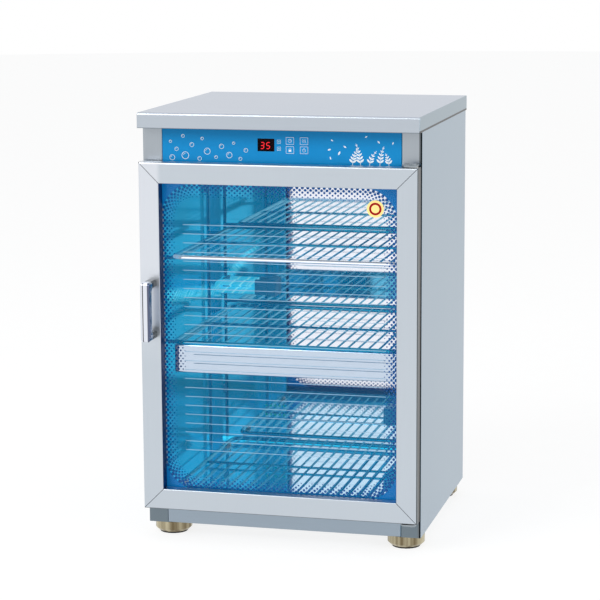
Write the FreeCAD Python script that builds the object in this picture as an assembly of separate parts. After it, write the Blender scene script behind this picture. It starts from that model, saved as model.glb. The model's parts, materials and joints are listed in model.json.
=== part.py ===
import FreeCAD, Part
import math
import os

# A dish sterilizer cabinet with one glass door: a folded steel body with front columns, a slip-over
# lid, a control panel above the door, three welded wire racks and two ultraviolet lamps.
# Sizes are millimetres. The pieces are laid out with x = 0 on the cabinet's middle, y = 0 on the
# front face of the columns, with the front towards -y, and z = 0 under the body. export() then moves
# every piece, so that the origin lies under the middle of the whole cabinet, at its feet.

Vector = FreeCAD.Vector

# Body sheet metal
BODY_WIDTH = 500.0
BODY_DEPTH = 430.0
BODY_HEIGHT = 743.0
SHEET = 1.0
BEND_RADIUS = 2.5
COLUMN_WIDTH = 36.0
COLUMN_LIP = 14.0
REAR_RETURN = 14.0
FIT_GAP = 0.3
FLANGE = 13.0

# Lid
LID_SKIRT = 27.0
LID_OVERHANG = 28.0
LID_NOSE_RADIUS = 4.0
LID_CORNER_CUT = 1.0

# Chamber
FLOOR_LEVEL = 52.0
CEILING_DROP = 93.0

# Control panel
FASCIA_DROP = 113.0
OVERLAY_DROP = 91.0
OVERLAY_THICKNESS = 1.2
DISPLAY_X = -25.8
DISPLAY_DROP = 55.0
DISPLAY_WIDTH = 30.0
DISPLAY_HEIGHT = 22.0
DISPLAY_DEPTH = 9.0
LENS_THICKNESS = 2.0
KEY_WIDTH = 14.6
KEY_HEIGHT = 13.8
KEY_FIRST_X = 17.3
KEY_COLUMN_PITCH = 25.1
KEY_FIRST_DROP = 47.1
KEY_ROW_PITCH = 15.7
KEY_PROUD = 0.6
KEY_TRAVEL = 0.5
KEY_CORNER_CUT = 1.0
KEY_NAMES = (("timer_key", "mode_key"), ("lock_key", "power_key"))
LED_DIAMETER = 3.0
LED_X = -2.5
LED_FIRST_DROP = 49.0
LED_PITCH = 12.0
LED_PROUD = 0.4
BOARD_GAP = 11.5
BOARD_THICKNESS = 1.6
BOARD_MARGIN = 12.0
STANDOFF_WIDTH = 6.0
SWITCH_HEIGHT = 6.5

# Door
DOOR_SIDE_GAP = 1.0
DOOR_BOTTOM = 33.0
DOOR_TOP_DROP = 86.0
DOOR_THICKNESS = 25.0
DOOR_GAP = 7.0
FRAME_WIDTH = 37.0
FRAME_WALL = 1.2
FRAME_EDGE_RADIUS = 3.0
GLASS_THICKNESS = 4.0
GLASS_LAP = 7.0
GLASS_EDGE_GAP = 1.0
SEAL_THICKNESS = 0.8
CARRIER_THICKNESS = 1.2
GASKET_INSET = 13.5
GASKET_BOTTOM_INSET = 3.0
GASKET_WIDTH = 13.0
GASKET_REST_GAP = 0.4
GASKET_GROOVE = 1.5
CORNER_KEY_LEG = 60.0

# Handle
HANDLE_WIDTH = 17.0
HANDLE_LENGTH = 105.0
HANDLE_REACH = 45.0
HANDLE_BAR = 19.0
HANDLE_LEG = 13.5
HANDLE_DROP = 259.5
HANDLE_EDGE_INSET = 22.0
HANDLE_TURN_RADIUS = 4.5
HANDLE_BEVEL = 3.0
HANDLE_GAP_CORNER = 4.0

# Hinge
HINGE_EDGE_INSET = 11.0
HINGE_PLATE = 3.0
HINGE_PLATE_WIDTH = 27.0
HINGE_PIN = 8.0
HINGE_PIN_TAIL = 6.6
PIN_RUNNING_GAP = 0.05
BUSH_WALL = 2.0
BUSH_LENGTH = 12.0
BUSH_FLANGE = 1.0
HINGE_PLAY = 0.2

# Racks
RACK_WIDTH = 420.0
RACK_FRONT = 24.0
RACK_DEPTH = 384.0
RACK_CORNER = 18.0
UPPER_RACK_DROP = 168.0
MIDDLE_RACK_DROP = 322.0
LOWER_RACK_RISE = 8.0
RAIL_DIAMETER = 7.0
WIRE_DIAMETER = 3.2
CROSS_DIAMETER = 4.0
WIRE_PITCH = 18.8
WELD_DEPTH = 0.3
APRON_HEIGHT = 51.0
APRON_WIDTH = 406.0
APRON_FOLD = 9.0
RUNNER_DIAMETER = 6.0
RUNNER_BEND = 10.0
POST_SETBACK = 36.0
POST_WALL_GAP = 3.0
POST_CLIP_INSET = 90.0
POST_CLIP_HEIGHT = 14.0
RACK_FOOT_WIDTH = 16.0
RACK_FOOT_INSET = 50.0

# Lamps
LAMP_TUBE = 12.0
LAMP_SPACING = 15.0
LAMP_TUBE_LENGTH = 83.0
LAMP_BASE_LENGTH = 23.0
LAMP_SOCKET_LENGTH = 18.0
LAMP_STANDOFF = 18.0
LAMP_SIDE_GAP = 6.0
LAMP_CLIP_PLACE = 16.0
LAMP_CLIP_GAP = 0.5
UPPER_LAMP_RISE = 36.0
LOWER_LAMP_RISE = 66.0

# Door switch and its magnet
REED_X = -53.0
REED_WIDTH = 34.0
REED_HEIGHT = 11.0
REED_DEPTH = 6.0
MAGNET_WIDTH = 24.0
MAGNET_HEIGHT = 8.0
MAGNET_DEPTH = 5.0
MAGNET_DROP = 12.0

# Feet
FOOT_HEIGHT = 25.0
FOOT_DIAMETER = 66.0
FOOT_CHAMFER = 5.0
FOOT_FLAT_COUNT = 24
FOOT_INSET = 34.0
REAR_FOOT_INSET = 38.0
FOOT_END_INSET = 40.0
PAD_DIAMETER = 50.0
PAD_THICKNESS = 3.5

# Electrics above the chamber and at the back
BALLAST_LENGTH = 92.0
BALLAST_WIDTH = 36.0
BALLAST_HEIGHT = 26.0
BALLAST_SPACING = 150.0
TERMINAL_LENGTH = 52.0
TERMINAL_DEPTH = 18.0
TERMINAL_HEIGHT = 14.0
TERMINAL_PITCH = 13.0
TERMINAL_REAR_GAP = 60.0
GLAND_SIDE_GAP = 100.0
GLAND_DROP = 55.0
GLAND_BORE = 7.4
GLAND_WALL = 3.2
GLAND_REACH = 8.0
GLAND_INSIDE = 7.0
GLAND_NUT = 21.0
GLAND_HOLE_GAP = 1.6
VENT_SLOT_LENGTH = 34.0
VENT_SLOT_HEIGHT = 4.0
VENT_SLOT_PITCH = 9.0
VENT_SLOT_ROWS = 4
VENT_SLOT_COLUMNS = 2
VENT_SLOT_START_X = -150.0
VENT_SLOT_COLUMN_PITCH = 50.0
VENT_SLOT_RISE = 18.0
VENT_HOLE = 4.5
VENT_HOLE_PITCH = 9.0
VENT_HOLE_START_X = -145.0
VENT_HOLE_RISE = 54.0
DUCT_SIZE = 22.0

# Places that follow from the sizes above
half_body = BODY_WIDTH / 2
half_opening = half_body - COLUMN_WIDTH
inner_wall = half_body - SHEET
rear_panel_front = BODY_DEPTH
rear_panel_back = BODY_DEPTH + SHEET
lid_rear = rear_panel_back + FIT_GAP + SHEET
lid_half = half_body + FIT_GAP + SHEET
lid_bottom = BODY_HEIGHT - LID_SKIRT
ceiling_level = BODY_HEIGHT - CEILING_DROP
fascia_bottom = BODY_HEIGHT - FASCIA_DROP
overlay_bottom = BODY_HEIGHT - OVERLAY_DROP
display_level = BODY_HEIGHT - DISPLAY_DROP
key_columns = [KEY_FIRST_X, KEY_FIRST_X + KEY_COLUMN_PITCH]
key_rows = [BODY_HEIGHT - KEY_FIRST_DROP, BODY_HEIGHT - KEY_FIRST_DROP - KEY_ROW_PITCH]
led_rows = [BODY_HEIGHT - LED_FIRST_DROP, BODY_HEIGHT - LED_FIRST_DROP - LED_PITCH]
door_top = BODY_HEIGHT - DOOR_TOP_DROP
handle_level = door_top - HANDLE_DROP
gland_x = half_body - GLAND_SIDE_GAP
gland_level = BODY_HEIGHT - GLAND_DROP
upper_rack_level = ceiling_level - UPPER_RACK_DROP
middle_rack_level = ceiling_level - MIDDLE_RACK_DROP
lower_rack_level = FLOOR_LEVEL + LOWER_RACK_RISE
upper_lamp_level = middle_rack_level + UPPER_LAMP_RISE
lower_lamp_level = FLOOR_LEVEL + LOWER_LAMP_RISE
panel_top = BODY_HEIGHT - SHEET - FIT_GAP
insert_half = half_opening - FIT_GAP
overlay_front = 0.2
overlay_back = overlay_front + OVERLAY_THICKNESS
fascia_front = overlay_back + 0.2
fascia_back = fascia_front + SHEET
board_front = fascia_back + BOARD_GAP
switch_tip = board_front - SWITCH_HEIGHT
door_half = half_body - DOOR_SIDE_GAP
door_back = -DOOR_GAP
door_front = door_back - DOOR_THICKNESS
glass_back = door_back
glass_front = glass_back - GLASS_THICKNESS
opening_half = door_half - FRAME_WIDTH
rebate_in = FRAME_WIDTH - GLASS_LAP - GLASS_EDGE_GAP
hinge_x = door_half - HINGE_EDGE_INSET
hinge_y = (door_front + door_back) / 2
bush_width = HINGE_PIN + 2 * (PIN_RUNNING_GAP + BUSH_WALL)
handle_front = door_front - HANDLE_REACH
gland_front = rear_panel_front - GLAND_INSIDE
gland_back = rear_panel_back + GLAND_REACH
gland_barrel = GLAND_BORE + 2 * GLAND_WALL
gland_hole = gland_barrel + GLAND_HOLE_GAP
y_middle = (handle_front + gland_back) / 2
rack_back = RACK_FRONT + RACK_DEPTH
lamp_y = rear_panel_front - LAMP_STANDOFF
rack_rail_half = (RACK_WIDTH - RAIL_DIAMETER) / 2
post_x = inner_wall - POST_WALL_GAP - RUNNER_DIAMETER / 2


def block(x0, x1, y0, y1, z0, z1):
    """A box between two corners."""
    return Part.makeBox(x1 - x0, y1 - y0, z1 - z0, Vector(x0, y0, z0))


def cylinder(diameter, base, run):
    """A round bar from a point, along a vector."""
    base, run = Vector(*base), Vector(*run)
    return Part.makeCylinder(diameter / 2, run.Length, base, run)


def joined(shapes):
    """Several touching solids made one."""
    first, *rest = shapes
    return first.fuse(rest).removeSplitter()


def mirrored(shape):
    """The same piece on the other side of the cabinet."""
    return shape.mirror(Vector(0, 0, 0), Vector(1, 0, 0))


def is_along(edge, axis):
    """Whether an edge is straight and runs along one of the main axes."""
    run = edge.Vertexes[-1].Point - edge.Vertexes[0].Point
    return abs(abs(getattr(run, axis)) - edge.Length) < 0.001


def on_plane(plane, u, v, w=0.0):
    """A point given on one of the main planes, w away from it."""
    return {"xy": Vector(u, v, w), "yz": Vector(w, u, v), "xz": Vector(u, w, v)}[plane]


def rounded_edges(corners, radii, closed=False):
    """The straights through the corners and the arc that turns each; a radius of 0 leaves it sharp."""
    count = len(corners)
    cuts = {}
    for i in range(count) if closed else range(1, count - 1):
        if not radii[i]:
            continue
        back = (corners[i - 1] - corners[i]).normalize()
        ahead = (corners[(i + 1) % count] - corners[i]).normalize()
        half_angle = back.getAngle(ahead) / 2
        reach = radii[i] / math.tan(half_angle)
        inset = radii[i] / math.sin(half_angle) - radii[i]
        middle = (back + ahead).normalize()
        cuts[i] = (corners[i] + back * reach, corners[i] + middle * inset, corners[i] + ahead * reach)
    edges = []
    for i in range(count if closed else count - 1):
        j = (i + 1) % count
        start = cuts[i][2] if i in cuts else corners[i]
        end = cuts[j][0] if j in cuts else corners[j]
        edges.append(Part.LineSegment(start, end).toShape())
        if j in cuts:
            edges.append(Part.Arc(*cuts[j]).toShape())
    return edges


def rounded_path(corners, radii, closed=False):
    """A wire through the corners, each turned by an arc of its own radius."""
    return Part.Wire(rounded_edges(corners, radii, closed))


def folded_sheet(plane, corners, start, end):
    """Sheet metal folded along a line of corners, with its thickness to the left of that line."""
    points = [Vector(u, v, 0) for u, v in corners]
    runs = [(b - a).normalize() for a, b in zip(points, points[1:])]
    lefts = [Vector(-run.y, run.x, 0) for run in runs]
    near, far = [0], [0]
    shifted = [points[0] + lefts[0] * SHEET]
    for i in range(1, len(points) - 1):
        a, b = lefts[i - 1], lefts[i]
        shifted.append(points[i] + (a + b) * (SHEET / (1 + a.dot(b))))
        turns_left = runs[i - 1].cross(runs[i]).z > 0
        near.append(BEND_RADIUS if turns_left else BEND_RADIUS - SHEET)
        far.append(BEND_RADIUS - SHEET if turns_left else BEND_RADIUS)
    shifted.append(points[-1] + lefts[-1] * SHEET)
    around = points + shifted[::-1]
    radii = near + [0] + (far + [0])[::-1]
    outline = rounded_path([on_plane(plane, p.x, p.y, start) for p in around], radii, True)
    return Part.Face(outline).extrude(on_plane(plane, 0, 0, end - start))


def flat_ring(centre, across, up, diameter, sides):
    """The corners of a section with flat sides, the first one repeated at the end."""
    radius = diameter / 2 / math.cos(math.pi / sides)
    turns = [math.pi * (2 * i + 1) / sides for i in range(sides + 1)]
    return [centre + across * (radius * math.cos(turn)) + up * (radius * math.sin(turn)) for turn in turns]


def flat_bar(diameter, base, run, sides=8):
    """A thin bar with flat sides, from a point along a vector on one of the main axes."""
    base, run = Vector(*base), Vector(*run)
    up = Vector(0, 1, 0) if abs(run.z) > 0.001 else Vector(0, 0, 1)
    across = Vector(run).normalize().cross(up)
    return Part.Face(Part.makePolygon(flat_ring(base, across, up, diameter, sides))).extrude(run)


def bent_bar(corners, normal, diameter, bend, sides=8, chords=3, closed=False):
    """Thin bar bent in a plane, with flat sides and a few short straights to each bend."""
    path = []
    for edge in rounded_edges([Vector(*corner) for corner in corners], [bend] * len(corners), closed):
        curved = isinstance(edge.Curve, Part.Circle)
        path += edge.discretize(chords + 1 if curved else 2)[:-1]
    if not closed:
        path.append(Vector(*corners[-1]))
    rings = []
    for i, point in enumerate(path):
        after = path[(i + 1) % len(path)] - point
        before = point - path[i - 1]
        if not closed and i == 0:
            before = after
        if not closed and i == len(path) - 1:
            after = before
        along = (before.normalize() + Vector(after).normalize()).normalize()
        widening = 1 / along.dot(before)
        rings.append(flat_ring(point, along.cross(normal) * widening, normal, diameter, sides))
    if closed:
        rings.append(rings[0])
    faces = []
    for one, other in zip(rings, rings[1:]):
        for k in range(sides):
            quad = [one[k], one[k + 1], other[k + 1], other[k], one[k]]
            faces.append(Part.Face(Part.makePolygon(quad)))
    if not closed:
        faces += [Part.Face(Part.makePolygon(ring)) for ring in (rings[0], rings[-1])]
    solid = Part.makeSolid(Part.makeShell(faces))
    if solid.Volume < 0:
        solid.reverse()
    return solid


def frame_strips(half, low, high, width, y0, y1):
    """Four flat strips mitred into a rectangle that faces the front; width gives (sides, bottom, top)."""
    side, bottom, top = width
    inner_half, inner_low, inner_high = half - side, low + bottom, high - top
    outer = [(-half, low), (half, low), (half, high), (-half, high)]
    inner = [(-inner_half, inner_low), (inner_half, inner_low),
             (inner_half, inner_high), (-inner_half, inner_high)]
    strips = []
    for i in range(4):
        j = (i + 1) % 4
        points = [Vector(x, y0, z) for x, z in (outer[i], outer[j], inner[j], inner[i], outer[i])]
        strips.append(Part.Face(Part.makePolygon(points)).extrude(Vector(0, y1 - y0, 0)))
    return strips


# ---------------------------------------------------------------- body sheet metal

def side_panel():
    """The left side with its front column, the column's lip and the rear return."""
    corners = [
        (-half_body + REAR_RETURN, BODY_DEPTH),
        (-half_body, BODY_DEPTH),
        (-half_body, 0),
        (-half_opening, 0),
        (-half_opening, COLUMN_LIP),
    ]
    return folded_sheet("xy", corners, 0, panel_top)


def right_side_panel():
    """The right side, with slots in its column for the two hinge plates."""
    panel = mirrored(side_panel())
    for z in hinge_plate_levels():
        x0, x1 = hinge_plate_span()
        slot = block(x0 - FIT_GAP, x1 + FIT_GAP, -1, BEND_RADIUS, z - FIT_GAP, z + HINGE_PLATE + FIT_GAP)
        panel = panel.cut(slot)
    return panel


def hinge_plate_levels():
    """The undersides of the bottom and the top hinge plate."""
    play = BUSH_FLANGE + HINGE_PLAY
    return DOOR_BOTTOM - play - HINGE_PLATE, door_top + play


def hinge_plate_span():
    """How far a hinge plate reaches across its column."""
    return hinge_x + 8 - HINGE_PLATE_WIDTH, hinge_x + 8


def rear_panel():
    """The back, polished inside, with vents for the electrics and two short rows of chamber holes."""
    edge = 6.0
    panel = block(-half_body + edge, half_body - edge, rear_panel_front, rear_panel_back,
                  edge / 2, lid_bottom - edge / 2)
    cuts = [cylinder(gland_hole, (gland_x, BODY_DEPTH - 3, gland_level), (0, 6, 0))]
    for column in range(VENT_SLOT_COLUMNS):
        for row in range(VENT_SLOT_ROWS):
            x = VENT_SLOT_START_X + column * VENT_SLOT_COLUMN_PITCH
            z = ceiling_level + VENT_SLOT_RISE + row * VENT_SLOT_PITCH
            cuts.append(block(x, x + VENT_SLOT_LENGTH, BODY_DEPTH - 1, BODY_DEPTH + 3,
                              z, z + VENT_SLOT_HEIGHT))
    for row in range(2):
        for column in range(5):
            x = VENT_HOLE_START_X + column * VENT_HOLE_PITCH
            z = FLOOR_LEVEL + VENT_HOLE_RISE + row * 2 * VENT_HOLE_PITCH
            cuts.append(flat_bar(VENT_HOLE, (x, BODY_DEPTH - 3, z), (0, 6, 0), 6))
    return panel.cut(cuts)


def bottom_plate():
    """The underside, folded up at both sides."""
    half = inner_wall - FIT_GAP
    plate = folded_sheet("xz", [(-half, FLANGE), (-half, 0), (half, 0), (half, FLANGE)],
                         COLUMN_LIP + 1, BODY_DEPTH - FIT_GAP)
    return plate.cut(rear_notches(-1, FLANGE + 1))


def foot_places():
    """The middles of the four feet."""
    front_x, rear_x = half_body - FOOT_INSET, half_body - REAR_FOOT_INSET
    front_y, rear_y = FOOT_END_INSET, BODY_DEPTH - FOOT_END_INSET
    return [(-front_x, front_y), (front_x, front_y), (-rear_x, rear_y), (rear_x, rear_y)]


def chamber_floor():
    """The chamber's floor, folded down at both sides and notched round the column lips."""
    half = inner_wall - FIT_GAP
    drop = FLOOR_LEVEL - FLANGE
    floor = folded_sheet("xz", [(half, drop), (half, FLOOR_LEVEL), (-half, FLOOR_LEVEL), (-half, drop)],
                         0.5, BODY_DEPTH - FIT_GAP)
    return floor.cut(column_notches(drop - 1, FLOOR_LEVEL + 1) + rear_notches(drop - 1, FLOOR_LEVEL + 1))


def column_notches(z0, z1):
    """The room that the two columns take from a sheet between them."""
    notch = block(insert_half, half_body, -1, COLUMN_LIP + 1, z0, z1)
    return [notch, mirrored(notch)]


def rear_notches(z0, z1):
    """The room that the sides' rear returns and their bends take from a sheet between them."""
    x0, y0 = half_body - REAR_RETURN - FIT_GAP, BODY_DEPTH - BEND_RADIUS
    notch = block(x0, half_body, y0, BODY_DEPTH + 1, z0, z1)
    return [notch, mirrored(notch)]


def chamber_ceiling():
    """The sheet between the chamber and the electrics, folded up at both sides."""
    half = inner_wall - FIT_GAP
    low, high = ceiling_level - 1, ceiling_level + FLANGE + 1
    corners = [(-half, high - 1), (-half, ceiling_level), (half, ceiling_level), (half, high - 1)]
    ceiling = folded_sheet("xz", corners, fascia_back + FIT_GAP, BODY_DEPTH - FIT_GAP)
    duct_hole = block(inner_wall - DUCT_SIZE + 3, inner_wall - 4, BODY_DEPTH - DUCT_SIZE + 3, BODY_DEPTH - 4,
                      low, ceiling_level + 2)
    return ceiling.cut(column_notches(low, high) + rear_notches(low, high) + [duct_hole])


def front_plinth():
    """The channel across the foot of the front, between the columns."""
    top = FLOOR_LEVEL - SHEET - FIT_GAP
    corners = [(COLUMN_LIP, top), (0, top), (0, 0), (COLUMN_LIP, 0)]
    return folded_sheet("yz", corners, -insert_half, insert_half)


def top_lid():
    """The slip-over lid, with a rounded nose that stands out over the door."""
    front = -LID_OVERHANG
    outer = block(-lid_half, lid_half, front, lid_rear, lid_bottom, BODY_HEIGHT)
    inner = block(-lid_half + SHEET, lid_half - SHEET, front + SHEET, lid_rear - SHEET,
                  lid_bottom + SHEET, BODY_HEIGHT - SHEET)
    outer = outer.makeFillet(LID_NOSE_RADIUS, nose_edges(outer))
    outer = outer.makeChamfer(LID_CORNER_CUT, [e for e in outer.Edges if is_along(e, "z")])
    inner = inner.makeFillet(LID_NOSE_RADIUS - SHEET, nose_edges(inner))
    mouth = block(-lid_half + SHEET, lid_half - SHEET, -1, lid_rear - SHEET, lid_bottom - 1, lid_bottom + 3)
    return outer.cut([inner, mouth])


def nose_edges(shape):
    """The box's upper front edge."""
    box = shape.BoundBox
    return [e for e in shape.Edges if e.BoundBox.ZMin > box.ZMax - 0.01 and e.BoundBox.YMax < box.YMin + 0.01]


# ---------------------------------------------------------------- control panel

def panel_openings(clearance, y0, y1):
    """The holes for the display, the keys and the indicators, each larger by a clearance."""
    w, h = DISPLAY_WIDTH / 2 + clearance, DISPLAY_HEIGHT / 2 + clearance
    holes = [block(DISPLAY_X - w, DISPLAY_X + w, y0, y1, display_level - h, display_level + h)]
    w, h = KEY_WIDTH / 2 + clearance, KEY_HEIGHT / 2 + clearance
    for x in key_columns:
        for z in key_rows:
            holes.append(block(x - w, x + w, y0, y1, z - h, z + h))
    for z in led_rows:
        holes.append(flat_bar(LED_DIAMETER + 2 * clearance, (LED_X, y0, z), (0, y1 - y0, 0)))
    return holes


def control_fascia():
    """The steel channel that backs the printed panel and closes the chamber's top edge."""
    corners = [(COLUMN_LIP, panel_top), (fascia_front, panel_top),
               (fascia_front, fascia_bottom), (COLUMN_LIP, fascia_bottom)]
    fascia = folded_sheet("yz", corners, -insert_half, insert_half)
    return fascia.cut(panel_openings(FIT_GAP, fascia_front - 1, fascia_back + 1))


def control_overlay():
    """The printed front of the control panel."""
    overlay = block(-insert_half, insert_half, overlay_front, overlay_back, overlay_bottom, panel_top)
    return overlay.cut(panel_openings(FIT_GAP / 2, overlay_front - 1, overlay_back + 1))


def display_lens():
    """The smoked window in front of the digits."""
    w, h = DISPLAY_WIDTH / 2, DISPLAY_HEIGHT / 2
    return block(DISPLAY_X - w, DISPLAY_X + w, overlay_front, overlay_front + LENS_THICKNESS,
                 display_level - h, display_level + h)


def display_module():
    """The two-digit block, with its pins into the board."""
    w, h = DISPLAY_WIDTH / 2 - 1, DISPLAY_HEIGHT / 2 - 1
    front = board_front - DISPLAY_DEPTH
    body = block(DISPLAY_X - w, DISPLAY_X + w, front, board_front, display_level - h, display_level + h)
    pane = block(DISPLAY_X - w + 2, DISPLAY_X + w - 2, front - 0.6, front,
                 display_level - h + 2, display_level + h - 2)
    return joined([body, pane])


def board_span():
    """The control board's edges across and upwards."""
    x0 = DISPLAY_X - DISPLAY_WIDTH / 2 - BOARD_MARGIN
    x1 = key_columns[1] + KEY_WIDTH / 2 + BOARD_MARGIN
    return x0, x1, display_level - 23, display_level + 23


def standoff_places():
    """The board's four fixing points."""
    x0, x1, z0, z1 = board_span()
    return [(x, z) for x in (x0 + 5, x1 - 5) for z in (z0 + 5, z1 - 5)]


def control_board():
    """The printed circuit board, with its main chip and buzzer on the back."""
    x0, x1, z0, z1 = board_span()
    back = board_front + BOARD_THICKNESS
    board = block(x0, x1, board_front, back, z0, z1)
    chip = block(-8, 12, back, back + 2.5, display_level - 6, display_level + 6)
    buzzer = flat_bar(12, (x1 - 20, back, display_level), (0, 8, 0), 12)
    return joined([board, chip, buzzer])


def board_standoffs():
    """Four hexagonal pillars that hold the board behind the panel."""
    return [flat_bar(STANDOFF_WIDTH, (x, fascia_back, z), (0, board_front - fascia_back, 0), 6)
            for x, z in standoff_places()]


def tact_switches():
    """A small switch behind each key."""
    switches = []
    for x in key_columns:
        for z in key_rows:
            case = block(x - 3, x + 3, board_front - 4, board_front, z - 3, z + 3)
            stem = block(x - 1.7, x + 1.7, switch_tip, board_front - 3, z - 1.7, z + 1.7)
            switches.append(joined([case, stem]))
    return switches


def key(x, z):
    """One square key: its face, the flange that keeps it in, and the stem towards its switch."""
    w, h = KEY_WIDTH / 2, KEY_HEIGHT / 2
    flange_front = fascia_back + FIT_GAP
    cap = block(x - w, x + w, overlay_front - KEY_PROUD, flange_front + 1, z - h, z + h)
    cap = cap.makeChamfer(KEY_CORNER_CUT, [e for e in cap.Edges if is_along(e, "y")])
    flange = block(x - w - 1.2, x + w + 1.2, flange_front, flange_front + 1, z - h - 0.7, z + h + 0.7)
    stem = block(x - 2.5, x + 2.5, flange_front, switch_tip - KEY_TRAVEL - 0.1, z - 2.5, z + 2.5)
    return joined([cap, flange, stem])


def indicator_leds():
    """Two round indicators with bevelled tips."""
    leds = []
    for z in led_rows:
        tip = overlay_front - LED_PROUD
        led = flat_bar(LED_DIAMETER, (LED_X, tip, z), (0, board_front - tip, 0))
        rim = [e for e in led.Edges if e.BoundBox.YMax < tip + 0.01]
        leds.append(led.makeChamfer(LED_PROUD, rim))
    return leds


# ---------------------------------------------------------------- electrics

def lamp_ballasts():
    """Each lamp's ballast, side by side on the ceiling."""
    return [lamp_ballast(side * BALLAST_SPACING / 2) for side in (-1, 1)]


def lamp_ballast(x):
    """One ballast, with a fixing ear at each end."""
    y, z = BODY_DEPTH / 2, ceiling_level + SHEET
    half = BALLAST_LENGTH / 2
    case = block(x - half, x + half, y, y + BALLAST_WIDTH, z, z + BALLAST_HEIGHT)
    case = case.makeChamfer(2, [e for e in case.Edges if is_along(e, "x") and e.BoundBox.ZMin > z + 1])
    ears = block(x - half - 10, x + half + 10, y + 10, y + BALLAST_WIDTH - 10, z, z + 1.5)
    return joined([case, ears])


def terminal_block():
    """The mains terminals beside the cable gland."""
    z = ceiling_level + SHEET
    top = z + TERMINAL_HEIGHT
    y = BODY_DEPTH - TERMINAL_REAR_GAP
    middle, half = y + TERMINAL_DEPTH / 2, TERMINAL_LENGTH / 2
    body = block(gland_x - half, gland_x + half, y, y + TERMINAL_DEPTH, z, top)
    places = [gland_x + TERMINAL_PITCH * (i - 1.5) for i in range(4)]
    return body.cut([block(x - 2.5, x + 2.5, middle - 2.5, middle + 2.5, top - 6, top + 1) for x in places])


def cable_gland():
    """The strain relief that the mains lead passes through: a flange outside and a nut inside."""
    nut = flat_bar(GLAND_NUT, (gland_x, gland_front, gland_level), (0, rear_panel_front - gland_front, 0), 6)
    flange = flat_bar(GLAND_NUT, (gland_x, rear_panel_back, gland_level), (0, 3, 0), 6)
    length = gland_back - gland_front
    barrel = flat_bar(gland_barrel, (gland_x, gland_front, gland_level), (0, length, 0))
    bore = cylinder(GLAND_BORE, (gland_x, gland_front - 1, gland_level), (0, length + 2, 0))
    return joined([nut, flange, barrel]).cut(bore)


def wiring_duct():
    """A folded channel up the right rear corner, which carries the lamps' leads."""
    x0, x1 = inner_wall - DUCT_SIZE, inner_wall
    y0, y1 = BODY_DEPTH - DUCT_SIZE, BODY_DEPTH - SHEET
    corners = [(x0, y1), (x0, y0), (x1, y0)]
    return folded_sheet("xy", corners, FLOOR_LEVEL, ceiling_level)


def door_switch():
    """The reed switch behind the panel's lower edge, which cuts the lamps when the door opens."""
    z = fascia_bottom + BEND_RADIUS + 1
    half = REED_WIDTH / 2
    return block(REED_X - half, REED_X + half, fascia_back, fascia_back + REED_DEPTH, z, z + REED_HEIGHT)


def lamp_places():
    """Each lamp's level, its tubes' far tip and whether it is mirrored to the right side, past the duct."""
    tip = -inner_wall + LAMP_SIDE_GAP
    return (upper_lamp_level, tip, False), (lower_lamp_level, tip + DUCT_SIZE, True)


def uv_lamp(level, tip, on_right):
    """A compact lamp's glass: two parallel tubes joined at their far ends."""
    end, base = tip + LAMP_TUBE / 2, tip + LAMP_TUBE_LENGTH
    low, high = level - LAMP_SPACING / 2, level + LAMP_SPACING / 2
    tubes = bent_bar([(base, lamp_y, low), (end, lamp_y, low), (end, lamp_y, high), (base, lamp_y, high)],
                     Vector(0, 1, 0), LAMP_TUBE, LAMP_TUBE / 2 + 0.5, 10)
    return mirrored(tubes) if on_right else tubes


def lamp_bases():
    """The plug-in bases that the lamps' tubes stand in."""
    bases = []
    for level, tip, on_right in lamp_places():
        x = tip + LAMP_TUBE_LENGTH
        half = LAMP_SPACING / 2 + 7
        base = block(x, x + LAMP_BASE_LENGTH, lamp_y - 7, lamp_y + 7, level - half, level + half)
        base = base.makeChamfer(2, [e for e in base.Edges if is_along(e, "x")])
        bases.append(mirrored(base) if on_right else base)
    return bases


def lamp_sockets():
    """The sockets that hold both lamps' bases against the rear panel."""
    sockets = []
    for level, tip, on_right in lamp_places():
        x = tip + LAMP_TUBE_LENGTH + LAMP_BASE_LENGTH
        half = LAMP_SPACING / 2 + 9
        body = block(x, x + LAMP_SOCKET_LENGTH, lamp_y - 8, rear_panel_front, level - half, level + half)
        body = body.makeChamfer(2, [e for e in body.Edges if e.BoundBox.YMax < lamp_y - 7])
        sockets.append(mirrored(body) if on_right else body)
    return sockets


def lamp_clips():
    """A clip behind each lamp's tubes, shaped to them."""
    clips = []
    for level, tip, on_right in lamp_places():
        x = tip + LAMP_CLIP_PLACE
        low, high = level - LAMP_SPACING / 2, level + LAMP_SPACING / 2
        clip = block(x, x + 6, lamp_y - 1, rear_panel_front, low - 8, high + 8)
        cuts = [flat_bar(LAMP_TUBE + 2 * LAMP_CLIP_GAP, (x - 5, lamp_y, z), (20, 0, 0), 10)
                for z in (low, high)]
        cuts.append(block(x - 1, x + 7, lamp_y - 8, lamp_y + 1, low, high))
        clip = clip.cut(cuts)
        clips.append(mirrored(clip) if on_right else clip)
    return clips


# ---------------------------------------------------------------- door

def frame_section(place):
    """A door member's hollow section: place turns (in from the edge, back from the front) into a point."""
    rebate_back = DOOR_THICKNESS - GLASS_THICKNESS - SEAL_THICKNESS
    wall = FRAME_WALL
    outside = [(0, 0), (FRAME_WIDTH, 0), (FRAME_WIDTH, rebate_back), (rebate_in, rebate_back),
               (rebate_in, DOOR_THICKNESS), (0, DOOR_THICKNESS)]
    hollow = [(wall, wall), (FRAME_WIDTH - wall, wall), (FRAME_WIDTH - wall, rebate_back - wall),
              (rebate_in - wall, rebate_back - wall), (rebate_in - wall, DOOR_THICKNESS - wall),
              (wall, DOOR_THICKNESS - wall)]
    edge = FRAME_EDGE_RADIUS
    skin = rounded_path([place(*p) for p in outside], [edge, edge / 2, 0, 0, 0, 0], True)
    bore = rounded_path([place(*p) for p in hollow], [edge - wall, 0, 0, 0, 0, 0], True)
    return Part.Face(skin).cut(Part.Face(bore))


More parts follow.
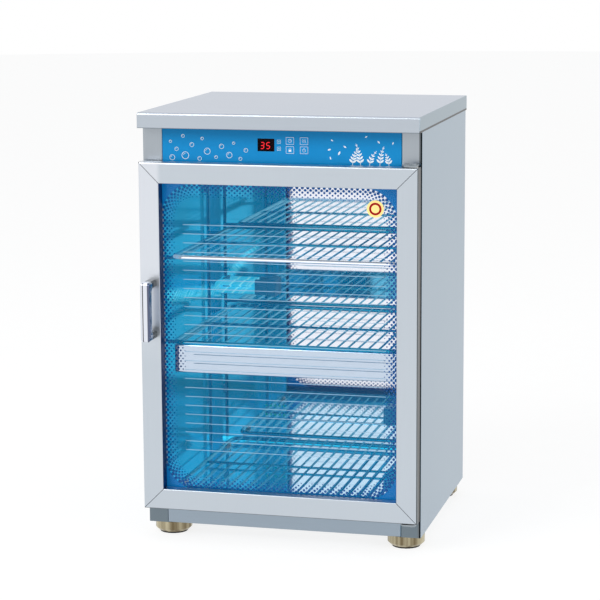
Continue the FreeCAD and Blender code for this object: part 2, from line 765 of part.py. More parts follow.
def door_stile(side):
    """An upright member of the door, mitred at both ends."""
    edge = side * door_half
    section = frame_section(lambda a, b: Vector(edge - side * a, door_front + b, DOOR_BOTTOM))
    bar = section.extrude(Vector(0, 0, door_top - DOOR_BOTTOM))
    inner = side * opening_half
    mitre = [(edge, DOOR_BOTTOM), (inner, DOOR_BOTTOM + FRAME_WIDTH),
             (inner, door_top - FRAME_WIDTH), (edge, door_top)]
    return bar.common(mitre_prism(mitre))


def door_rail(top):
    """A cross member of the door, mitred at both ends, with a hole for the hinge bush."""
    edge, into = (door_top, -1) if top else (DOOR_BOTTOM, 1)
    section = frame_section(lambda a, b: Vector(-door_half, door_front + b, edge + into * a))
    bar = section.extrude(Vector(2 * door_half, 0, 0))
    inner = edge + into * FRAME_WIDTH
    mitre = [(-door_half, edge), (-opening_half, inner), (opening_half, inner), (door_half, edge)]
    rail = bar.common(mitre_prism(mitre))
    return rail.cut(flat_bar(bush_width, (hinge_x, hinge_y, edge - 5), (0, 0, 10)))


def mitre_prism(corners):
    """A prism through the door's thickness over an outline seen from the front."""
    points = [Vector(x, door_front - 1, z) for x, z in corners]
    return Part.Face(Part.makePolygon(points + points[:1])).extrude(Vector(0, DOOR_THICKNESS + 2, 0))


def corner_keys():
    """The blocks inside the door's mitred corners; the hinge side's are bored for the bushes."""
    gap = FRAME_WALL + FIT_GAP
    y0, y1 = door_front + FRAME_EDGE_RADIUS, door_back - gap
    thick = rebate_in - 2 * gap
    blocks = []
    for side in (-1, 1):
        for edge, into in ((DOOR_BOTTOM, 1), (door_top, -1)):
            x0, z0 = side * (door_half - gap), edge + into * gap
            upright = sorted([x0, x0 - side * thick]), sorted([z0, z0 + into * CORNER_KEY_LEG])
            across = sorted([x0, x0 - side * CORNER_KEY_LEG]), sorted([z0, z0 + into * thick])
            corner = joined([block(*xs, y0, y1, *zs) for xs, zs in (upright, across)])
            if side > 0:
                bush = flat_bar(bush_width, (hinge_x, hinge_y, z0 - into), (0, 0, into * BUSH_LENGTH))
                corner = corner.cut(bush)
            blocks.append(corner)
    return blocks


def door_glass():
    """The pane, lapped behind the frame on all sides."""
    half = opening_half + GLASS_LAP
    low, high = DOOR_BOTTOM + FRAME_WIDTH - GLASS_LAP, door_top - FRAME_WIDTH + GLASS_LAP
    return block(-half, half, glass_front, glass_back, low, high)


def glazing_seal():
    """The thin seal between the frame's rebate and the pane, in four strips."""
    low, high = DOOR_BOTTOM + FRAME_WIDTH - GLASS_LAP, door_top - FRAME_WIDTH + GLASS_LAP
    return frame_strips(opening_half + GLASS_LAP, low, high, [GLASS_LAP - 0.5] * 3,
                        glass_front - SEAL_THICKNESS, glass_front)


def gasket_carrier():
    """The four strips that keep the pane in its rebate and carry the gasket."""
    reach = FRAME_WIDTH - 3
    widths = [reach - GASKET_INSET, reach - GASKET_BOTTOM_INSET, reach - GASKET_INSET]
    return frame_strips(door_half - GASKET_INSET, DOOR_BOTTOM + GASKET_BOTTOM_INSET, door_top - GASKET_INSET,
                        widths, door_back, door_back + CARRIER_THICKNESS)


def door_gasket():
    """The gasket: four lengths welded at the corners, just short of the columns with the door shut."""
    y0, y1 = door_back + CARRIER_THICKNESS, -GASKET_REST_GAP
    third = (y1 - y0) / 3
    layers = []
    for start, inset in ((y0, 0), (y0 + third, GASKET_GROOVE), (y0 + 2 * third, 0)):
        half = door_half - GASKET_INSET - inset
        low, high = DOOR_BOTTOM + GASKET_BOTTOM_INSET + inset, door_top - GASKET_INSET - inset
        layers.append(frame_strips(half, low, high, [GASKET_WIDTH - 2 * inset] * 3, start, start + third))
    return [joined(strips) for strips in zip(*layers)]


def door_magnet():
    """The magnet inside the top rail that works the reed switch."""
    y1 = door_back - FRAME_WALL
    half, high = MAGNET_WIDTH / 2, door_top - MAGNET_DROP
    return block(REED_X - half, REED_X + half, y1 - MAGNET_DEPTH, y1, high - MAGNET_HEIGHT, high)


def door_handle():
    """The bow handle: an outer bow less the finger gap, with its rims bevelled."""
    x0 = -door_half + HANDLE_EDGE_INSET - HANDLE_WIDTH / 2
    z0, z1 = handle_level - HANDLE_LENGTH / 2, handle_level + HANDLE_LENGTH / 2
    bar_back = handle_front + HANDLE_BAR
    gap_low, gap_high, cut = z0 + HANDLE_LEG, z1 - HANDLE_LEG, HANDLE_GAP_CORNER
    outline = [(door_front, z0), (handle_front, z0), (handle_front, z1), (door_front, z1),
               (door_front, gap_high), (bar_back + cut, gap_high), (bar_back, gap_high - cut),
               (bar_back, gap_low + cut), (bar_back + cut, gap_low), (door_front, gap_low)]
    corners = [Vector(x0, y, z) for y, z in outline]
    turn = HANDLE_TURN_RADIUS
    bow = Part.Face(rounded_path(corners, [0, turn, turn] + [0] * 7, True))
    bow = bow.extrude(Vector(HANDLE_WIDTH, 0, 0))
    rims = [e for e in bow.Edges if e.BoundBox.XLength < 0.01 and e.BoundBox.YMin < door_front - 0.6]
    return bow.makeChamfer(HANDLE_BEVEL, rims)


# ---------------------------------------------------------------- hinge

def hinge_bracket(top):
    """A plate through the column's slot, with a leaf behind the column and a hexagonal hole for the pin."""
    z = hinge_plate_levels()[1 if top else 0]
    x0, x1 = hinge_plate_span()
    front = hinge_y - 11
    plate = block(x0, x1, front, SHEET + HINGE_PLATE, z, z + HINGE_PLATE)
    plate = plate.makeChamfer(5, [e for e in plate.Edges if is_along(e, "z") and e.BoundBox.YMax < front + 1])
    leaf_z = (z, z + 34) if top else (z - 23, z + HINGE_PLATE)
    leaf = block(x0, x1, SHEET, SHEET + HINGE_PLATE, *leaf_z)
    return joined([plate, leaf]).cut(flat_bar(HINGE_PIN_TAIL, (hinge_x, hinge_y, z - 5), (0, 0, 15), 6))


def hinge_pin(top):
    """A headed pin: a hexagonal tail fixed in its plate and a round journal running in the door's bush."""
    z0, z1 = hinge_plate_levels()
    if top:
        plate_in, plate_out, into, end = z1, z1 + HINGE_PLATE, -1, door_top - BUSH_LENGTH + 1
    else:
        plate_in, plate_out, into, end = z0 + HINGE_PLATE, z0, 1, DOOR_BOTTOM + BUSH_LENGTH - 1
    journal = cylinder(HINGE_PIN, (hinge_x, hinge_y, plate_in), (0, 0, end - plate_in))
    tail = flat_bar(HINGE_PIN_TAIL, (hinge_x, hinge_y, plate_out), (0, 0, plate_in - plate_out), 6)
    head = flat_bar(HINGE_PIN + 4, (hinge_x, hinge_y, plate_out), (0, 0, -into * 2), 6)
    return joined([journal, tail, head])


def hinge_bush(top):
    """The flanged bush in the door's corner that the pin runs in."""
    edge, into = (door_top, -1) if top else (DOOR_BOTTOM, 1)
    body = flat_bar(bush_width, (hinge_x, hinge_y, edge), (0, 0, into * BUSH_LENGTH))
    flange = flat_bar(bush_width + 4, (hinge_x, hinge_y, edge), (0, 0, -into * BUSH_FLANGE))
    bore = cylinder(HINGE_PIN + 2 * PIN_RUNNING_GAP, (hinge_x, hinge_y, edge - into * 5),
                    (0, 0, into * (BUSH_LENGTH + 10)))
    return joined([body, flange]).cut(bore)


# ---------------------------------------------------------------- racks

def wire_rack(level):
    """A welded rack: a bent rail all round, wires from front to back and one cross rod under them."""
    y0, y1 = RACK_FRONT, rack_back
    half = rack_rail_half
    rail = bent_bar([(-half, y0, level), (half, y0, level), (half, y1, level), (-half, y1, level)],
                    Vector(0, 0, 1), RAIL_DIAMETER, RACK_CORNER, closed=True)
    wire_z = level + (RAIL_DIAMETER - WIRE_DIAMETER) / 2
    count = int((2 * half - RACK_CORNER) / WIRE_PITCH)
    first = -(count - 1) * WIRE_PITCH / 2
    wires = [flat_bar(WIRE_DIAMETER, (first + i * WIRE_PITCH, y0, wire_z), (0, RACK_DEPTH, 0), 6)
             for i in range(count)]
    cross_z = wire_z - (WIRE_DIAMETER + CROSS_DIAMETER) / 2 + WELD_DEPTH
    cross_half = half - RAIL_DIAMETER / 2 + WELD_DEPTH
    cross_start = (-cross_half, y0 + RACK_DEPTH / 2, cross_z)
    wires.append(flat_bar(CROSS_DIAMETER, cross_start, (2 * cross_half, 0, 0), 6))
    return rail.fuse(wires)


def rack_apron():
    """The bright folded strip welded under the middle rack's front rail."""
    top = middle_rack_level - RAIL_DIAMETER / 2
    front, bottom = RACK_FRONT - RAIL_DIAMETER / 2, top - APRON_HEIGHT
    corners = [(front + APRON_FOLD, top), (front, top), (front, bottom), (front + APRON_FOLD, bottom)]
    return folded_sheet("yz", corners, -APRON_WIDTH / 2, APRON_WIDTH / 2)


def rack_feet():
    """The four clips that the lower rack stands on."""
    level = lower_rack_level
    feet = []
    for side in (-1, 1):
        for y in (RACK_FRONT + RACK_FOOT_INSET, rack_back - RACK_FOOT_INSET):
            x = side * rack_rail_half
            foot = flat_bar(RACK_FOOT_WIDTH, (x, y, FLOOR_LEVEL + FIT_GAP), (0, 0, level - FLOOR_LEVEL - 1))
            rail = flat_bar(RAIL_DIAMETER, (x, y - RACK_FOOT_WIDTH, level), (0, 2 * RACK_FOOT_WIDTH, 0))
            feet.append(foot.cut(rail))
    return feet


def rack_ladder():
    """The left side's wire ladder: two posts and a runner for each hung rack."""
    y0, y1 = RACK_FRONT + POST_SETBACK, rack_back - POST_SETBACK
    pieces = [flat_bar(RUNNER_DIAMETER, (-post_x, y, FLOOR_LEVEL), (0, 0, ceiling_level - FLOOR_LEVEL))
              for y in (y0, y1)]
    for level in (upper_rack_level, middle_rack_level):
        z = level - (RAIL_DIAMETER + RUNNER_DIAMETER) / 2 - FIT_GAP
        corners = [(-post_x, y0, z), (-rack_rail_half, y0, z), (-rack_rail_half, y1, z), (-post_x, y1, z)]
        pieces.append(bent_bar(corners, Vector(0, 0, 1), RUNNER_DIAMETER, RUNNER_BEND, chords=2))
    return joined(pieces)


def ladder_clips():
    """The clips that hold the ladders' posts off the side walls."""
    clips = []
    half = RUNNER_DIAMETER / 2
    for y in (RACK_FRONT + POST_SETBACK, rack_back - POST_SETBACK):
        for z in (FLOOR_LEVEL + POST_CLIP_INSET, ceiling_level - POST_CLIP_INSET):
            low, high = z - POST_CLIP_HEIGHT / 2, z + POST_CLIP_HEIGHT / 2
            clip = block(-inner_wall, -post_x, y - RUNNER_DIAMETER, y + RUNNER_DIAMETER, low, high)
            clip = clip.cut(block(-post_x - half, -post_x + half, y - half, y + half, low - 1, high + 1))
            clips += [clip, mirrored(clip)]
    return clips


# ---------------------------------------------------------------- feet

def foot(x, y):
    """A levelling cup with finger flats round it and a chamfered lower edge."""
    bottom = PAD_THICKNESS - FOOT_HEIGHT
    cup = flat_bar(FOOT_DIAMETER, (x, y, bottom), (0, 0, -bottom), FOOT_FLAT_COUNT)
    return cup.makeChamfer(FOOT_CHAMFER, [e for e in cup.Edges if e.BoundBox.ZMax < bottom + 0.01])


def foot_pads():
    """The rubber pads that stand on the worktop."""
    size = (0, 0, PAD_THICKNESS)
    return [flat_bar(PAD_DIAMETER, (x, y, -FOOT_HEIGHT), size, FOOT_FLAT_COUNT) for x, y in foot_places()]


# ---------------------------------------------------------------- all pieces

def pieces():
    """Every piece of the cabinet by name; a list is a group of alike solids."""
    return {
        "left_side_panel": side_panel(),
        "right_side_panel": right_side_panel(),
        "rear_panel": rear_panel(),
        "bottom_plate": bottom_plate(),
        "chamber_floor": chamber_floor(),
        "chamber_ceiling": chamber_ceiling(),
        "front_plinth": front_plinth(),
        "top_lid": top_lid(),
        "control_fascia": control_fascia(),
        "control_overlay": control_overlay(),
        "display_lens": display_lens(),
        "display_module": display_module(),
        "control_board": control_board(),
        "board_standoffs": board_standoffs(),
        "tact_switches": tact_switches(),
        "indicator_leds": indicator_leds(),
        "lamp_ballasts": lamp_ballasts(),
        "terminal_block": terminal_block(),
        "cable_gland": cable_gland(),
        "wiring_duct": wiring_duct(),
        "door_switch": door_switch(),
        "upper_uv_lamp": uv_lamp(*lamp_places()[0]),
        "lower_uv_lamp": uv_lamp(*lamp_places()[1]),
        "lamp_bases": lamp_bases(),
        "lamp_sockets": lamp_sockets(),
        "lamp_clips": lamp_clips(),
        "left_rack_ladder": rack_ladder(),
        "right_rack_ladder": mirrored(rack_ladder()),
        "ladder_clips": ladder_clips(),
        "foot_pads": foot_pads(),
        "feet": [foot(x, y) for x, y in foot_places()],
        "top_hinge_bracket": hinge_bracket(True),
        "bottom_hinge_bracket": hinge_bracket(False),
        "hinge_pins": [hinge_pin(True), hinge_pin(False)],
        "door_left_stile": door_stile(-1),
        "door_right_stile": door_stile(1),
        "door_top_rail": door_rail(True),
        "door_bottom_rail": door_rail(False),
        "door_corner_keys": corner_keys(),
        "door_glass": door_glass(),
        "glazing_seal": glazing_seal(),
        "gasket_carrier": gasket_carrier(),
        "door_gasket": door_gasket(),
        "door_magnet": door_magnet(),
        "door_handle": door_handle(),
        "hinge_bushes": [hinge_bush(True), hinge_bush(False)],
        "upper_rack": wire_rack(upper_rack_level),
        "middle_rack": wire_rack(middle_rack_level),
        "lower_rack": wire_rack(lower_rack_level),
        "middle_rack_apron": rack_apron(),
        "lower_rack_feet": rack_feet(),
    }


def keys():
    """The four keys by name."""
    return {
        name: key(x, z)
        for z, row in zip(key_rows, KEY_NAMES)
        for x, name in zip(key_columns, row)
    }


def export(parts):
    """Writes each piece to its own file, moved to the cabinet's own origin."""
    os.makedirs("parts", exist_ok=True)
    shift = Vector(0, -y_middle, FOOT_HEIGHT)
    for name, shape in parts.items():
        if isinstance(shape, list):
            shape = Part.makeCompound(shape)
        shape.translate(shift)
        shape.exportStep("parts/" + name + ".step")


export({**pieces(), **keys()})
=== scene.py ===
# %% [markdown]
# # A dish sterilizer cabinet, dressed in Blender
#
# The cabinet's solids come ready made: every sheet, rail, rack and key is already in its place, in
# metres. This lesson gives each of them a finish, adds what is printed, screwed or lit on them, and
# sets up a plain studio round the cabinet. Each step is a short cell, so that it can be read,
# changed and run by itself.

# %% Load the cabinet
import json
import math

import bpy
from mathutils import Matrix, Vector


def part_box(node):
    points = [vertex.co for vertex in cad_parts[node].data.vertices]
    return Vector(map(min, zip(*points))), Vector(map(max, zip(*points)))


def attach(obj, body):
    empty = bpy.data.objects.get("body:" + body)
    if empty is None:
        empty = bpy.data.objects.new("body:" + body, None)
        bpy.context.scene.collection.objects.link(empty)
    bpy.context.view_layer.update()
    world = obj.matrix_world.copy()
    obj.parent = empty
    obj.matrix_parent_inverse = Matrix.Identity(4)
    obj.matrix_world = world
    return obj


MM = 0.001
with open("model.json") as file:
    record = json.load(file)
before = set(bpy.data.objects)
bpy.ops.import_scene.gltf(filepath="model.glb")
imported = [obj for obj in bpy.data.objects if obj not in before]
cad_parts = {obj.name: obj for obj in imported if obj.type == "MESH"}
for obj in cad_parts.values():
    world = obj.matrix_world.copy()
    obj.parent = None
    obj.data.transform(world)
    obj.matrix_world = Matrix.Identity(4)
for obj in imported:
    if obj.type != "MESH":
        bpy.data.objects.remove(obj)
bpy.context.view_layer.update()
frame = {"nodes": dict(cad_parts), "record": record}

# %% [markdown]
# ## A small language for finishes
#
# A finish on a real object is rarely one colour: steel carries the lines of its brush, plastic has a
# grain, ink has an edge. In Blender such a finish is a tree of nodes. Wiring nodes by hand is slow to
# write and hard to read, so one small class wraps a node's output. Sums of such wires add the Math
# nodes themselves, and one method adds any other node: first its settings, then what goes into its
# sockets. Colours and vectors don't go through Math, which would turn them grey, but through Mix and
# Vector Math.

# %% Wires between nodes
class Wire:
    """The output of a node, which can be used in sums like a number."""

    def __init__(self, socket):
        self.socket = socket

    def node(self, kind, settings=None, sockets=None, output=0):
        """Adds a node of any kind to this wire's tree and returns the wire of one of its outputs."""
        made = self.socket.id_data.nodes.new("ShaderNode" + kind)
        for name, value in (settings or {}).items():
            setattr(made, name, value)
        for name, value in (sockets or {}).items():
            if isinstance(value, Wire):
                self.socket.id_data.links.new(value.socket, made.inputs[name])
            else:
                made.inputs[name].default_value = value
        return Wire(made.outputs[output]) if made.outputs else None

    def math(self, operation, *terms):
        return self.node("Math", {"operation": operation}, dict(enumerate(terms)))

    def __add__(self, other):
        return self.math("ADD", self, other)

    __radd__ = __add__

    def __sub__(self, other):
        return self.math("SUBTRACT", self, other)

    def __rsub__(self, other):
        return self.math("SUBTRACT", other, self)

    def __mul__(self, other):
        return self.math("MULTIPLY", self, other)

    __rmul__ = __mul__

    def __truediv__(self, other):
        return self.math("DIVIDE", self, other)

    def __lt__(self, other):
        return self.math("LESS_THAN", self, other)

    def __gt__(self, other):
        return self.math("GREATER_THAN", self, other)

    def __abs__(self):
        return self.math("ABSOLUTE", self)

    def tint(self, low, high):
        """The colour between two others that this wire, from 0 to 1, picks."""
        return self.node("Mix", {"data_type": "RGBA"}, {0: self, 6: low, 7: high}, output=2)

    def stretched(self, scale):
        """This vector with each axis multiplied, so that a texture is drawn out along an axis."""
        return self.node("VectorMath", {"operation": "MULTIPLY"}, {0: self, 1: scale})

    def between(self, start, stop):
        """0 where this is at one value, 1 where it is at another, and even between the two."""
        return self.node("MapRange", {}, {0: self, 1: start, 2: stop})

    def axis(self, number):
        return self.node("SeparateXYZ", {}, {0: self}, output=number)


print("operators:", ", ".join(name for name in vars(Wire) if name.startswith("__")))

# %% [markdown]
# Colours are given as they look on a screen, from 0 to 255, because that is how a colour is picked.
# Blender works with the light itself, which is not in proportion to those numbers, so they are
# turned into light first.

# %% Colours and the start and end of a finish
def shade(red, green, blue, level=1.0):
    """A colour as picked on a screen, as the light that Blender works with."""
    shares = (channel / 255 for channel in (red, green, blue))
    light = (share / 12.92 if share <= 0.04045 else ((share + 0.055) / 1.055) ** 2.4 for share in shares)
    return (*(level * part for part in light), 1.0)


def begin(name):
    """A new empty finish; the wire carries the place of each point on the cabinet, in metres."""
    material = bpy.data.materials.new(name)
    material.use_nodes = True
    material.node_tree.nodes.clear()
    return Wire(material.node_tree.nodes.new("ShaderNodeTexCoord").outputs["Object"])


def surface_direction(place):
    """Which way the surface faces at each point."""
    return Wire(place.socket.node.outputs["Normal"])


def end(shader):
    """Shows a shader on the surface, and returns the finish that it belongs to."""
    shader.node("OutputMaterial", {}, {"Surface": shader})
    tree = shader.socket.id_data
    return next(material for material in bpy.data.materials if material.node_tree == tree)


print("a mid grey as light:", [round(channel, 3) for channel in shade(128, 128, 128)])

# %% [markdown]
# ## The camera
#
# The cabinet is seen from the front, a little from its right and from above its lid, through a long
# lens: its upright edges stay almost parallel. The camera is set first, because everything after it
# is judged through it. The turn, tilt and roll give its three axes directly.

# %% Camera
TURN, TILT, ROLL = math.radians(14.1978), math.radians(10.0976), math.radians(-0.319)
EYE, LENS = (0.944815, -3.782568, 1.104071), 129.535
ahead = Vector((-math.sin(TURN) * math.cos(TILT), math.cos(TURN) * math.cos(TILT), -math.sin(TILT)))
level_right = ahead.cross(Vector((0, 0, 1))).normalized()
level_up = level_right.cross(ahead)
right = math.cos(ROLL) * level_right + math.sin(ROLL) * level_up
up = -math.sin(ROLL) * level_right + math.cos(ROLL) * level_up

camera = bpy.data.objects.new("camera", bpy.data.cameras.new("camera"))
bpy.context.scene.collection.objects.link(camera)
camera.data.lens = LENS
camera.data.sensor_width = 36.0
camera.data.clip_end = 100.0
camera.matrix_world = Matrix((right, up, -ahead)).transposed().to_4x4()
camera.location = EYE
bpy.context.scene.camera = camera
print("camera looks along", [round(part, 3) for part in ahead])

# %% [markdown]
# ## The studio
#
# Steel shows what stands round it, so a white room matters more than the lamps do: the cabinet's
# sheets and the mirror at the back of its chamber are to find plain white there. The world is white
# for the camera, for reflections and for what is seen through glass, and dimmer as a source of
# light, so that the lamps can still shape the cabinet.

# %% World
bpy.context.scene.view_settings.view_transform = "Standard"
world = bpy.data.worlds.new("white_room")
bpy.context.scene.world = world
world.use_nodes = True
world.node_tree.nodes.clear()
ROOM_LIGHT = 0.62
ray_kinds = world.node_tree.nodes.new("ShaderNodeLightPath").outputs
camera_rays, mirrored, through = (
    Wire(ray_kinds[kind]) for kind in ("Is Camera Ray", "Is Glossy Ray", "Is Transmission Ray"))
seen = camera_rays + mirrored + through
room = seen.node("Background", {}, {
    "Color": (1, 1, 1, 1), "Strength": seen.math("MINIMUM", seen, 1.0) * (1 - ROOM_LIGHT) + ROOM_LIGHT})
room.node("OutputWorld", {}, {"Surface": room})
print("world:", world.name, "light level", ROOM_LIGHT)

# %% [markdown]
# The floor is one wide pale disc. For the camera it also shines a little, so that it runs into the
# white room with no horizon; the shadow of the cabinet stays on it, because the rest of its
# brightness is reflected light.

# %% Floor
FLOOR_RADIUS, FLOOR_SIDES = 14.0, 64
FLOOR_GLOW, GLOW_SHARE = 1.12, 0.72
floor_place = begin("pale_floor")
rays = floor_place.node("LightPath")
floor_seen = rays + Wire(rays.socket.node.outputs["Is Glossy Ray"])
speckle = floor_place.node("TexNoise", {}, {"Vector": floor_place, "Scale": 18.0, "Detail": 3.0})
floor_shader = floor_place.node("BsdfPrincipled", {}, {
    "Base Color": speckle.tint(shade(236, 237, 238), shade(244, 245, 246)), "Roughness": 0.9,
    "Specular IOR Level": 0.1})
floor_glow = floor_place.node("Emission", {}, {"Color": (1, 1, 1, 1), "Strength": FLOOR_GLOW})
pale_floor = end(floor_place.node("MixShader", {}, {
    0: floor_seen.math("MINIMUM", floor_seen, 1.0) * GLOW_SHARE, 1: floor_shader, 2: floor_glow}))

turns = [math.tau * step / FLOOR_SIDES for step in range(FLOOR_SIDES)]
ring = [(FLOOR_RADIUS * math.cos(turn), FLOOR_RADIUS * math.sin(turn), 0.0) for turn in turns]
floor_mesh = bpy.data.meshes.new("floor")
floor_mesh.from_pydata(ring, [], [list(range(FLOOR_SIDES))])
floor_mesh.materials.append(pale_floor)
floor = bpy.data.objects.new("floor", floor_mesh)
bpy.context.scene.collection.objects.link(floor)
print("floor:", len(floor_mesh.vertices), "points")

# %% [markdown]
# Two large soft lamps stand as they would in a product studio: the main one high in front on the
# left, a weaker one on the right that lights the side sheet. Large lamps give soft shadows and wide,
# quiet reflections.

# %% Lamps
def soft_lamp(name, place, target, width, power):
    """A square area lamp that looks at a point."""
    lamp = bpy.data.objects.new(name, bpy.data.lights.new(name, "AREA"))
    lamp.data.size = width
    lamp.data.energy = power
    lamp.location = place
    lamp.rotation_euler = (Vector(target) - Vector(place)).to_track_quat("-Z", "Y").to_euler()
    bpy.context.scene.collection.objects.link(lamp)


MIDDLE = (0, 0, 0.38)
soft_lamp("main_lamp", (-2.0, -3.0, 3.0), MIDDLE, 2.4, 75.0)
soft_lamp("side_lamp", (3.4, -1.2, 1.9), MIDDLE, 2.0, 30.0)
print("lamps:", [lamp.name for lamp in bpy.data.lights])

# %% [markdown]
# ## Steel sheet
#
# The body is folded from stainless sheet that was drawn under a fine abrasive belt. The belt leaves
# short parallel lines, far finer than they are long. They could be modelled, but they are shallower
# than a hair, so a noise texture that is drawn out along one axis does it: it shifts the colour a
# little, makes the gloss uneven and, through a Bump node, tilts the light. A second, broad noise is
# the unevenness of any large sheet.

# %% Brushed steel
ALONG_X, ALONG_Z = (12, 1400, 1400), (1400, 1400, 12)


def belt_lines(place, grain, share=0.6):
    """The belt's fine lines, and a mix of their share with the sheet's broad unevenness."""
    lines = place.node("TexNoise", {}, {
        "Vector": place.stretched(grain), "Scale": 1.0, "Detail": 3.0, "Roughness": 0.6})
    clouds = place.node("TexNoise", {}, {"Vector": place, "Scale": 3.2, "Detail": 2.0})
    return lines, lines * share + clouds * (1 - share)


def rough(height, strength=0.1, depth=0.0002):
    """The surface direction that a height gives; the depth is in metres."""
    return height.node("Bump", {}, {"Height": height, "Strength": strength, "Distance": depth})


def brushed_steel(name, colour, grain, roughness=0.3):
    place = begin(name)
    lines, uneven = belt_lines(place, grain)
    return end(place.node("BsdfPrincipled", {}, {
        "Base Color": uneven.tint(shade(*colour, 0.92), shade(*colour, 1.08)),
        "Metallic": 1.0, "Roughness": uneven * 0.12 + (roughness - 0.06), "Normal": rough(lines)}))


finishes = {
    "plinth_steel": brushed_steel("plinth_steel", (152, 165, 177), ALONG_X),
    "hinge_steel": brushed_steel("hinge_steel", (150, 158, 164), ALONG_Z, 0.25),
}
print("sheet finishes:", sorted(finishes))

# %% [markdown]
# The lid's top, front and side each mirror another part of the room, and each takes its own tone, a
# painted reflection that brings that out. Along the skirt's lower edge runs a painted shadow of the
# gap under it: a dark line about as wide as the sheet is thick, and wider on the side.

# %% The lid
lid_low, lid_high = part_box("top_lid")
FRONT_SHADOW_LINE, SIDE_SHADOW_LINE = 0.0009, 0.0035


def lid_steel(name):
    place = begin(name)
    lines, uneven = belt_lines(place, ALONG_X)
    direction = surface_direction(place)
    top, side = direction.axis(2) > 0.6, direction.axis(0) > 0.6
    # Painted reflection: the front, the top and the side each take their own tone.
    tone = uneven.tint(shade(184, 192, 201, 0.95), shade(184, 192, 201, 1.05))
    tone = top.tint(tone, uneven.tint(shade(180, 188, 201, 0.97), shade(180, 188, 201, 1.03)))
    tone = side.tint(tone, uneven.tint(shade(152, 168, 178, 0.95), shade(152, 168, 178, 1.05)))
    # Painted shadow of the gap under the skirt: a dark line along its lower edge, darker and wider on the
    # side.
    lid_shadow_line = place.axis(2) < side * (SIDE_SHADOW_LINE - FRONT_SHADOW_LINE) + (lid_low[2] + FRONT_SHADOW_LINE)
    tone = lid_shadow_line.tint(tone, side.tint(shade(112, 122, 132), shade(12, 16, 20)))
    return end(place.node("BsdfPrincipled", {}, {
        "Base Color": tone, "Metallic": 1.0, "Roughness": uneven * 0.12 + 0.26, "Normal": rough(lines)}))


finishes["lid_steel"] = lid_steel("lid_steel")
print("lid from", lid_low, "to", lid_high)

# %% [markdown]
# The side sheets are brushed steel outside. Inside, toward the chamber, the same sheet takes the
# light of the ultraviolet lamps, which is a strong cyan blue and drowns the white that comes in
# through the door. The lamps of this scene are small, and light that finds its way into a box after
# many bounces is slow to compute, so the inner face has the colour that it shows when lit: a second
# steel, whose tint holds even for light that only grazes it. The upper lamp draws a band of slanting
# streaks along it. The surface's own direction tells the two faces apart, the sheet's folded lips are
# lit where they look back into the chamber, and a Mix Shader node picks between the two steels.

# %% Side sheets, lit inside
COLUMN_BACK, SHEET_MIDDLE = -0.178, 0.1
COLUMN_SHADE_LEVEL, HINGE_SHADE_START, HINGE_DARK_SHADE_START = 0.0765, 0.2444, 0.2468
BAND_LEVEL, BAND_FALL = 0.4093, 0.137


def slanting_streaks(slant):
    """Streaks of light: a noise that changes only along the slant."""
    line = slant.node("CombineXYZ", {}, {0: slant, 1: 0.0, 2: 0.0})
    return slant.node("TexNoise", {}, {"Vector": line, "Scale": 1.0, "Detail": 1.0})


def side_steel(name):
    place = begin(name)
    lines, uneven = belt_lines(place, ALONG_Z)
    clouds = place.node("TexNoise", {}, {"Vector": place, "Scale": 9.0, "Detail": 3.0})
    direction = surface_direction(place)
    inside = (direction.axis(0) * place.axis(0) < -0.1) * (place.axis(1) > COLUMN_BACK)
    front_lip = (direction.axis(1) > 0.5) * (place.axis(1) < SHEET_MIDDLE)
    rear_lip = (direction.axis(1) < -0.5) * (place.axis(1) > SHEET_MIDDLE)
    inside = inside.math("MAXIMUM", inside, front_lip + rear_lip)
    front = direction.axis(1) < -0.6
    outer = uneven.tint(shade(161, 177, 190, 0.94), shade(161, 177, 190, 1.06))
    # Painted reflection and shade: the column fronts take a greyer tone than the sides and are darker near
    # the foot; beside the hinge their edge is painted grey, then black, as the shade of the gap there.
    column = uneven.tint(shade(166, 173, 180, 0.94), shade(166, 173, 180, 1.06))
    column = (place.axis(2) < COLUMN_SHADE_LEVEL).tint(column, shade(116, 128, 136))
    column = (place.axis(0) > HINGE_SHADE_START).tint(column, shade(112, 118, 122))
    column = (place.axis(0) > HINGE_DARK_SHADE_START).tint(column, shade(22, 28, 32))
    outer = front.tint(outer, column)
    level = abs(place.axis(2) + place.axis(1) * BAND_FALL - BAND_LEVEL)
    band = level.between(0.016, 0.006) * place.axis(1).between(-0.12, -0.06)
    streaks = slanting_streaks((place.axis(1) - place.axis(2) * 2.2) * 110)
    streaks = streaks.between(0.46, 0.64).tint(shade(0, 160, 188, 0.85), shade(120, 216, 226, 0.8))
    light = clouds.tint(shade(10, 104, 130, 0.75), shade(16, 128, 158, 0.75))
    light = band.tint(light, streaks)
    plain = place.node("BsdfPrincipled", {}, {
        "Base Color": outer, "Metallic": 1.0, "Roughness": uneven * 0.12 + 0.26, "Normal": rough(lines)})
    lit = place.node("BsdfPrincipled", {}, {
        "Base Color": clouds.tint(shade(16, 104, 142), shade(24, 128, 172)), "Metallic": 1.0,
        "Roughness": uneven * 0.08 + 0.06, "Specular Tint": (0.45, 0.8, 0.88, 1.0),
        "Emission Color": light, "Emission Strength": 1.0})
    return end(place.node("MixShader", {}, {0: inside, 1: plain, 2: lit}))


finishes["side_steel"] = side_steel("side_steel")
print("side sheets: the band of light is at", BAND_LEVEL)
